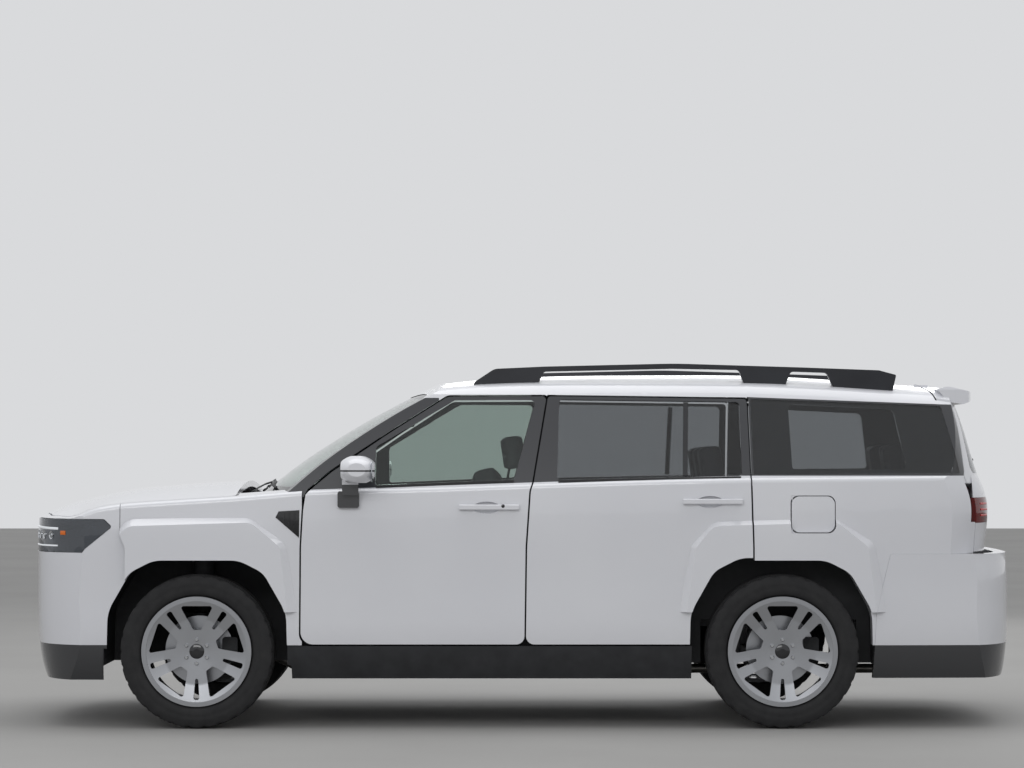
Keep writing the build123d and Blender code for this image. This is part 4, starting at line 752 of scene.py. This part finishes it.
# %% Wheel nuts and caps
NUT_CIRCLE = 0.057
NUT = ((-0.004, 0), (-0.004, 0.011), (0.010, 0.0105), (0.014, 0.008), (0.014, 0))
CAP = ((-0.003, 0), (-0.003, 0.036), (0.003, 0.036), (0.006, 0.032), (0.007, 0.012), (0.007, 0))

for end in ("front", "rear"):
    for side_name, side in SIDES.items():
        low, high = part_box(f"wheel_{end}_{side_name}")
        x, z = (low[0] + high[0]) / 2, (low[2] + high[2]) / 2
        names = [f"wheel_{end}_{side_name}"]
        mesh = bmesh.new()
        for k in range(6):
            turn = math.radians(60 * k + 30)
            point, _ = side_hit(names, x + NUT_CIRCLE * math.cos(turn), z + NUT_CIRCLE * math.sin(turn), side)
            turned(mesh, point, (0, side, 0), NUT, 6)
        make(f"wheel_nuts_{end}_{side_name}", mesh, chrome, f"{end}_wheel_{side_name}", 25.0)
        mesh = bmesh.new()
        point, _ = side_hit(names, x + 0.01, z, side)
        turned(mesh, (x, point.y, z), (0, side, 0), CAP, 36)
        make(f"hub_cap_{end}_{side_name}", mesh, black_gloss, f"{end}_wheel_{side_name}")
print("four sets of nuts and caps")

# %% [markdown]
# Front lamps: two white light guides along the lens, five plated reflector cells on a dark ground and an
# amber side marker. Rear lamps: three rows of red guides each. A bar of diodes sits high in the rear glass.
# The guides, the marker and the stop bar carry a faint painted glow, painted light on lamps that are not lit, and
# cast no light on the body.

# %% Lamp details
def painted_glow_finish(name, colour, strength):
    material, tree, shader = surface(name, colour, Roughness=0.15)
    tint(tree, shader, colour, colour, 12.0)
    # The emission is painted light: a faint painted glow on unlit lamp parts.
    shader.inputs["Emission Color"].default_value = linear(colour)
    shader.inputs["Emission Strength"].default_value = strength
    return material


light_guide = painted_glow_finish("light_guide_with_painted_glow", "#D9DCE0", 0.25)
amber_lens = painted_glow_finish("amber_marker_lens_with_painted_glow", "#C8641A", 0.1)
red_guide = painted_glow_finish("red_light_guide_with_painted_glow", "#A01518", 0.2)
LAMP_CELL = ((-0.003, 0), (-0.003, 0.020), (0.003, 0.020), (0.001, 0.017), (-0.001, 0.010), (0.002, 0.006),
             (0.003, 0))
MARKER = ((-2.225, 0.938), (-2.200, 0.938))
RED_ROWS = (0.030, 0.058, 0.086)  # below the top of the tail lamp


def end_hit(names, y, z, direction=1):
    """A point on the front of the car, or on its rear with direction -1."""
    return hit(names, (-3.0 * direction, y, z), (direction, 0, 0))


def end_strip(mesh, names, corners, width, height, lift=0.0, direction=1):
    """A strip on the front or rear along (y, z) corners."""
    hits = [found for found in (end_hit(names, p.x, p.y, direction) for p in along_line(corners)) if found]
    sweep(mesh, [point + normal * lift for point, normal in hits], [normal for _, normal in hits], width, height)


for side_name, side in SIDES.items():
    low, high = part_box("headlamps")
    mesh = bmesh.new()
    end_strip(mesh, ["headlamps"], ((side * 0.50, high[2] - 0.040), (side * 0.82, high[2] - 0.048)), 0.012, 0.006)
    end_strip(mesh, ["headlamps"], ((side * 0.50, low[2] + 0.030), (side * 0.82, low[2] + 0.030)), 0.008, 0.006)
    make(f"headlamp_guides_{side_name}", mesh, light_guide, "body")
    mesh = bmesh.new()
    for k in range(5):
        y = side * (0.535 + 0.062 * k)
        point, normal = end_hit(["headlamps"], y, (low[2] + high[2]) / 2)
        turned(mesh, point, normal, LAMP_CELL, 28)
    make(f"headlamp_cells_{side_name}", mesh, chrome, "body")
    mesh = bmesh.new()
    side_strip(mesh, ["headlamps", "front_fenders", "front_bumper"], MARKER, side, 0.020, 0.006, 0.001)
    make(f"side_marker_{side_name}", mesh, amber_lens, "body")
    lamp_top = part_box("tail_lamps")[1][2]
    mesh = bmesh.new()
    for drop in RED_ROWS:
        z = lamp_top - drop
        end_strip(mesh, ["tail_lamps"], ((side * 0.64, z), (side * 0.76, z)), 0.010, 0.005, 0.0, -1)
    make(f"tail_lamp_guides_{side_name}", mesh, red_guide, "tailgate")

glass_low, glass_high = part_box("tailgate_glass")
stop_z = glass_high[2] - 0.022
mesh = bmesh.new()
end_strip(mesh, ["tailgate_glass", "tailgate"], ((-0.16, stop_z), (0.16, stop_z)), 0.012, 0.006, 0.0, -1)
make("high_stop_lamp", mesh, red_guide, "tailgate")
print("front, side, rear and high lamps")

# %% [markdown]
# The wipers rest low on the windscreen: a black arm springs from the cowl and carries a rubber blade. One
# more parks on the rear glass. Each blade is swept through points found on the glass, so that it lies on it
# along its whole length.

# %% Wipers
BLADE_GAP = 0.006  # from the glass to the middle of the rubber
PIVOT_CAP = ((-0.012, 0), (-0.012, 0.012), (0.012, 0.011), (0.015, 0.007), (0.015, 0))


def screen_point(y, along):
    """A point on the windscreen; along runs 0 to 1 from the cowl to the roof."""
    return end_hit(["windscreen"], y, windscreen_low[2] + (windscreen_high[2] - windscreen_low[2]) * along)


def wiper(name, foot, spots, body, surface_hit):
    """Rubber and spine along the spots on the glass, an arm from the foot to their middle, and a pivot cap."""
    mesh = bmesh.new()
    hits = [surface_hit(*spot) for spot in spots]
    blade = [p + n * BLADE_GAP for p, n in hits]
    normals = [n for _, n in hits]
    sweep(mesh, blade, normals, 0.005, 0.012)
    sweep(mesh, [p + n * 0.009 for p, n in zip(blade, normals)], normals, 0.012, 0.005)
    middle = len(blade) // 2
    foot, out = Vector(foot), normals[middle]
    arm = [foot, foot.lerp(blade[middle], 0.25) + out * 0.016, foot.lerp(blade[middle], 0.7) + out * 0.018,
           blade[middle] + out * 0.014]
    sweep(mesh, arm, [out] * len(arm), 0.014, 0.007)
    turned(mesh, foot, out, PIVOT_CAP, 20)
    make(name, mesh, black_grain, body)


pivot_x, pivot_z = windscreen_low[0] + 0.006, windscreen_low[2] + 0.006
wiper("wiper_left", (pivot_x, -0.62, pivot_z),
      [(-0.66 + 0.055 * k, 0.045 + 0.006 * k) for k in range(12)], "body", screen_point)
wiper("wiper_right", (pivot_x, 0.06, pivot_z),
      [(0.02 + 0.055 * k, 0.045 + 0.005 * k) for k in range(11)], "body", screen_point)


def rear_point(y, z):
    return hit(["tailgate_glass"], (3.5, y, z), (-1, 0, 0))


wiper("rear_wiper", (rear_point(0, glass_low[2] + 0.03)[0].x + 0.004, 0.0, glass_low[2] + 0.03),
      [(-0.02 - 0.04 * k, glass_low[2] + 0.045 + 0.002 * k) for k in range(9)], "tailgate", rear_point)
print("three wipers")

# %% [markdown]
# The front face: bright level bars before the dark grille. At each end of the car hangs a blank plate, and
# the exhaust ends in a bright rolled sleeve, which is turned like a cup so that its lip and depth show.

# %% Grille bars, plates and sleeve
GRILLE_ROWS = 7  # the third one up has no bar
PLATE_HALF, PLATE_HEIGHT = 0.15, 0.15
SLEEVE = ((0, 0.031), (0.0, 0.036), (0.058, 0.037), (0.060, 0.035), (0.058, 0.033), (0.052, 0.030), (0.052, 0))

grille_low, grille_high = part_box("grille")
mesh = bmesh.new()
for k in (0, 1, 3, 4, 5, 6):
    z = grille_low[2] + (grille_high[2] - grille_low[2]) * (k + 0.5) / GRILLE_ROWS
    end_strip(mesh, ["grille", "front_bumper", "front_structure"], ((-0.36, z), (0.36, z)), 0.010, 0.006, 0.002)
make("grille_bars", mesh, chrome, "body")


def plate(name, z, direction, body, panel):
    """A blank plate across the middle of the front (direction 1) or the rear (-1)."""
    x = end_hit([panel], 0, z, direction)[0].x
    outer, inner = x - direction * 0.001, x + direction * 0.007
    mesh = bmesh.new()
    soft_block(mesh, (min(outer, inner), -PLATE_HALF, z - PLATE_HEIGHT / 2),
               (max(outer, inner), PLATE_HALF, z + PLATE_HEIGHT / 2), 0.0025, 2)
    make(name, mesh, plate_finish, body)


plate_finish, plate_tree, plate_shader = surface("blank_number_plate", "#E9E9E4", Roughness=0.3)
tint(plate_tree, plate_shader, "#E4E4DF", "#EDEDE8", 4.0)
plate("front_plate_blank", 0.56, 1, "body", "front_bumper")
plate("rear_plate_blank", 0.93, -1, "tailgate", "tailgate")

_, exhaust_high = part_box("exhaust")
mesh = bmesh.new()
turned(mesh, (exhaust_high[0] - 0.05, 0.52, 0.27), (1, 0, 0), SLEEVE, 40)
make("exhaust_sleeve", mesh, chrome, "body")
print("grille bars, plates and sleeve")

# %% [markdown]
# Through the windows one sees the dashboard's display and vents, the mirror on the windscreen, and the
# moulded door trims with their armrests and pockets. Rounded blocks are enough here, seen through glass.

# %% Cabin details
# Armrest, padded upper part and pocket: depth, distance from the front and rear ends, two heights, bevel.
DOOR_TRIM = ((0.050, 0.10, 0.14, 0.775, 0.835, 0.018), (0.014, 0.0, 0.0, 0.86, 1.10, 0.008),
             (0.030, 0.06, 0.22, 0.50, 0.62, 0.014))
TRIM_SINK = 0.004
VENT_MIDDLES = (-0.70, 0.14, 0.30, 0.66)
VENT_HALF = 0.055
screen_black, screen_tree, screen_shader = surface("display_cover_glass", "#0C0E12", Roughness=0.06,
                                                   Coat_Weight=0.5)
tint(screen_tree, screen_shader, "#0B0D11", "#0F1116", 3.0)
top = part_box("dashboard")[1][2]
mesh = bmesh.new()
soft_block(mesh, (-0.842, -0.62, top - 0.012), (-0.812, -0.02, top + 0.125), 0.006)
soft_block(mesh, (-0.850, -0.36, top - 0.02), (-0.838, -0.28, top + 0.06), 0.004)
make("twin_display", mesh, screen_black, "body")
mesh = bmesh.new()
for y in VENT_MIDDLES:
    for k in range(4):
        z = top - 0.055 - 0.014 * k
        point, _ = hit(["dashboard"], (0.4, y, z), (-1, 0, 0))
        soft_block(mesh, (point.x - 0.004, y - VENT_HALF, z - 0.003), (point.x + 0.008, y + VENT_HALF, z + 0.003),
                   0.0014, 2)
make("air_vent_blades", mesh, black_gloss, "body")
mesh = bmesh.new()
stem, _ = screen_point(0.0, 0.88)
soft_block(mesh, (stem.x + 0.075, -0.12, stem.z - 0.10), (stem.x + 0.100, 0.12, stem.z - 0.035), 0.010)
sweep(mesh, [stem + Vector((0.008, 0, 0)), stem + Vector((0.05, 0, -0.03)), stem + Vector((0.085, 0, -0.06))],
      [Vector((0, 1, 0))] * 3, 0.022, 0.022)
make("inner_mirror", mesh, cabin_moulding, "body")
for side_name, side in SIDES.items():
    for end, x_low, x_high in (("front", -0.88, -0.02), ("rear", 0.22, 0.98)):
        mesh = bmesh.new()
        point, _ = hit([f"{end}_door_{side_name}"], ((x_low + x_high) / 2, 0, 0.80), (0, side, 0))
        for depth, front, rear, z_low, z_high, bevel in DOOR_TRIM:
            a, b = sorted((point.y - side * depth, point.y + side * TRIM_SINK))
            soft_block(mesh, (x_low + front, a, z_low), (x_high - rear, b, z_high), bevel)
        make(f"{end}_door_trim_{side_name}", mesh, cabin_moulding, f"{end}_door_{side_name}")
print("displays, vents, inner mirror and door trims")

# %% [markdown]
# Every seat is cushion, back and head rest, each a foam block under sewn leather. Bevels alone would look
# cast, so one pad is remeshed into small cells and blown up by a cloth simulation with pressure and no
# gravity, until its faces crown and its sides pull in between the corners. That pad is then fitted to each
# place in the three rows, and two sewn channels are pressed into it.

# %% Padded seats
PAD = (0.50, 0.46, 0.115, 0.035)  # width, depth and thickness before blowing, and the edge's bevel
CELL = 0.014
CHANNEL_WIDTH, CHANNEL_DEPTH = 0.009, 0.16
CUSHION_TILT, BACK_TILT, REST_TILT = -4.0, 76.0, 82.0
POST_OFFSET = 0.055


def slab(width, depth, thick, bevel):
    """A rounded slab around the origin, remeshed into small even cells."""
    mesh = bmesh.new()
    soft_block(mesh, (-depth / 2, -width / 2, -thick / 2), (depth / 2, width / 2, thick / 2), bevel, 4)
    data = bpy.data.meshes.new("slab")
    mesh.to_mesh(data)
    mesh.free()
    holder = bpy.data.objects.new("slab", data)
    bpy.context.scene.collection.objects.link(holder)
    remesh = holder.modifiers.new("cells", "REMESH")
    remesh.mode = "VOXEL"
    remesh.voxel_size = CELL
    return applied(holder)


def applied(holder):
    """The evaluated mesh of an object, which is then removed."""
    graph = bpy.context.evaluated_depsgraph_get()
    data = bpy.data.meshes.new_from_object(holder.evaluated_get(graph))
    bpy.data.objects.remove(holder, do_unlink=True)
    return data


def blown(data, pressure=4.0, cap=0.024, frames=20):
    """Swells a closed mesh as a filled cover, with every point's travel capped."""
    start = [v.co.copy() for v in data.vertices]
    holder = bpy.data.objects.new("pad_trial", data)
    bpy.context.scene.collection.objects.link(holder)
    cloth = holder.modifiers.new("fill", "CLOTH")
    cloth.settings.use_pressure = True
    cloth.settings.uniform_pressure_force = pressure
    cloth.settings.effector_weights.gravity = 0.0
    cloth.point_cache.frame_end = frames
    for frame_number in range(1, frames + 1):
        bpy.context.scene.frame_set(frame_number)
    swollen = applied(holder)
    bpy.context.scene.frame_set(1)
    for vertex, was in zip(swollen.vertices, start):
        move = vertex.co - was
        if move.length > cap:
            vertex.co = was + move.normalized() * cap
    return swollen


def pad_points(width, depth, thick, bevel):
    """Points and faces of one blown pad, centred on the origin."""
    data = slab(width, depth, thick, bevel)
    data = blown(data)
    return [v.co.copy() for v in data.vertices], [tuple(p.vertices) for p in data.polygons]


def channelled(point, lines):
    """Presses a sewn groove into both faces of a pad at each of the given places across its width."""
    pull = sum(math.exp(-((point.y - line) / CHANNEL_WIDTH) ** 2) for line in lines)
    return Vector((point.x, point.y, point.z * (1 - CHANNEL_DEPTH * min(1.0, pull))))


pad_verts, pad_faces = pad_points(*PAD)
print("pad of", len(pad_faces), "cells")


def add_pad(mesh, size, middle, tilt, lines=()):
    """Adds the pad to a mesh, fitted to a (depth, width, thickness) and leaned by tilt degrees about y."""
    turn = Matrix.Rotation(math.radians(tilt), 4, "Y")
    fit = Vector((size[0] / (PAD[1] + 0.03), size[1] / (PAD[0] + 0.03), size[2] / (PAD[2] + 0.04)))
    verts = []
    for co in pad_verts:
        local = channelled(Vector((co.x * fit.x, co.y * fit.y, co.z * fit.z)), lines)
        verts.append(mesh.verts.new(turn @ local + Vector(middle)))
    for face in pad_faces:
        mesh.faces.new([verts[k] for k in face])


def seat_row(name, node, x, floor, places, width, height, rest_height):
    """One row of seats: for each place a cushion, a back and a rest, and a base with the rest's two posts."""
    pads, shells = [], []
    for k, y in enumerate(places):
        mesh = bmesh.new()
        add_pad(mesh, (0.50, width, 0.165), (x - 0.028, y, floor + 0.262), CUSHION_TILT,
                (-0.30 * width, 0.30 * width))
        pads.append(make(f"{name}_cushion_{k}", mesh, seat_hide, "body", 180.0))
        mesh = bmesh.new()
        length = height - 0.36
        add_pad(mesh, (length, width - 0.03, 0.150), (x + 0.262, y, floor + 0.235 + length / 2), BACK_TILT,
                (-0.28 * width, 0.28 * width))
        pads.append(make(f"{name}_back_{k}", mesh, seat_hide, "body", 180.0))
        mesh = bmesh.new()
        add_pad(mesh, (0.185, 0.25, 0.105), (x + 0.338, y, floor + rest_height - 0.095), REST_TILT)
        pads.append(make(f"{name}_head_rest_{k}", mesh, seat_hide, "body", 180.0))
        mesh = bmesh.new()
        soft_block(mesh, (x - 0.17, y - width * 0.38, floor + 0.001),
                   (x + 0.17, y + width * 0.38, floor + 0.19), 0.012)
        for offset in (-POST_OFFSET, POST_OFFSET):
            sweep(mesh, [Vector((x + 0.305, y + offset, floor + rest_height - 0.25)),
                         Vector((x + 0.330, y + offset, floor + rest_height - 0.12))],
                  [Vector((1, 0, 0))] * 2, 0.012, 0.012)
        shells.append(make(f"{name}_base_{k}", mesh, cabin_moulding, "body"))
    for piece in pads + shells:
        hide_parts(node)
    return len(pads)


CUSHION_REACH = 0.268  # from the front of a row's box to the middle of its cushions
count = 0
for name, node, places, *sizes in (("front_seat", "front_seats", (-0.37, 0.37), 0.50, 1.05, 1.05),
                                   ("second_seat", "second_row_seats", (-0.41, 0.0, 0.41), 0.405, 1.01, 1.0),
                                   ("third_seat", "third_row_seats", (-0.29, 0.29), 0.56, 0.82, 0.82)):
    low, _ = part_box(node)
    count += seat_row(name, node, low[0] + CUSHION_REACH, low[2], places, *sizes)
print(count, "padded pieces")

# %% [markdown]
# Last, the whole object's box is measured with the new pieces in place.

# %% Measure the box
low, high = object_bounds()
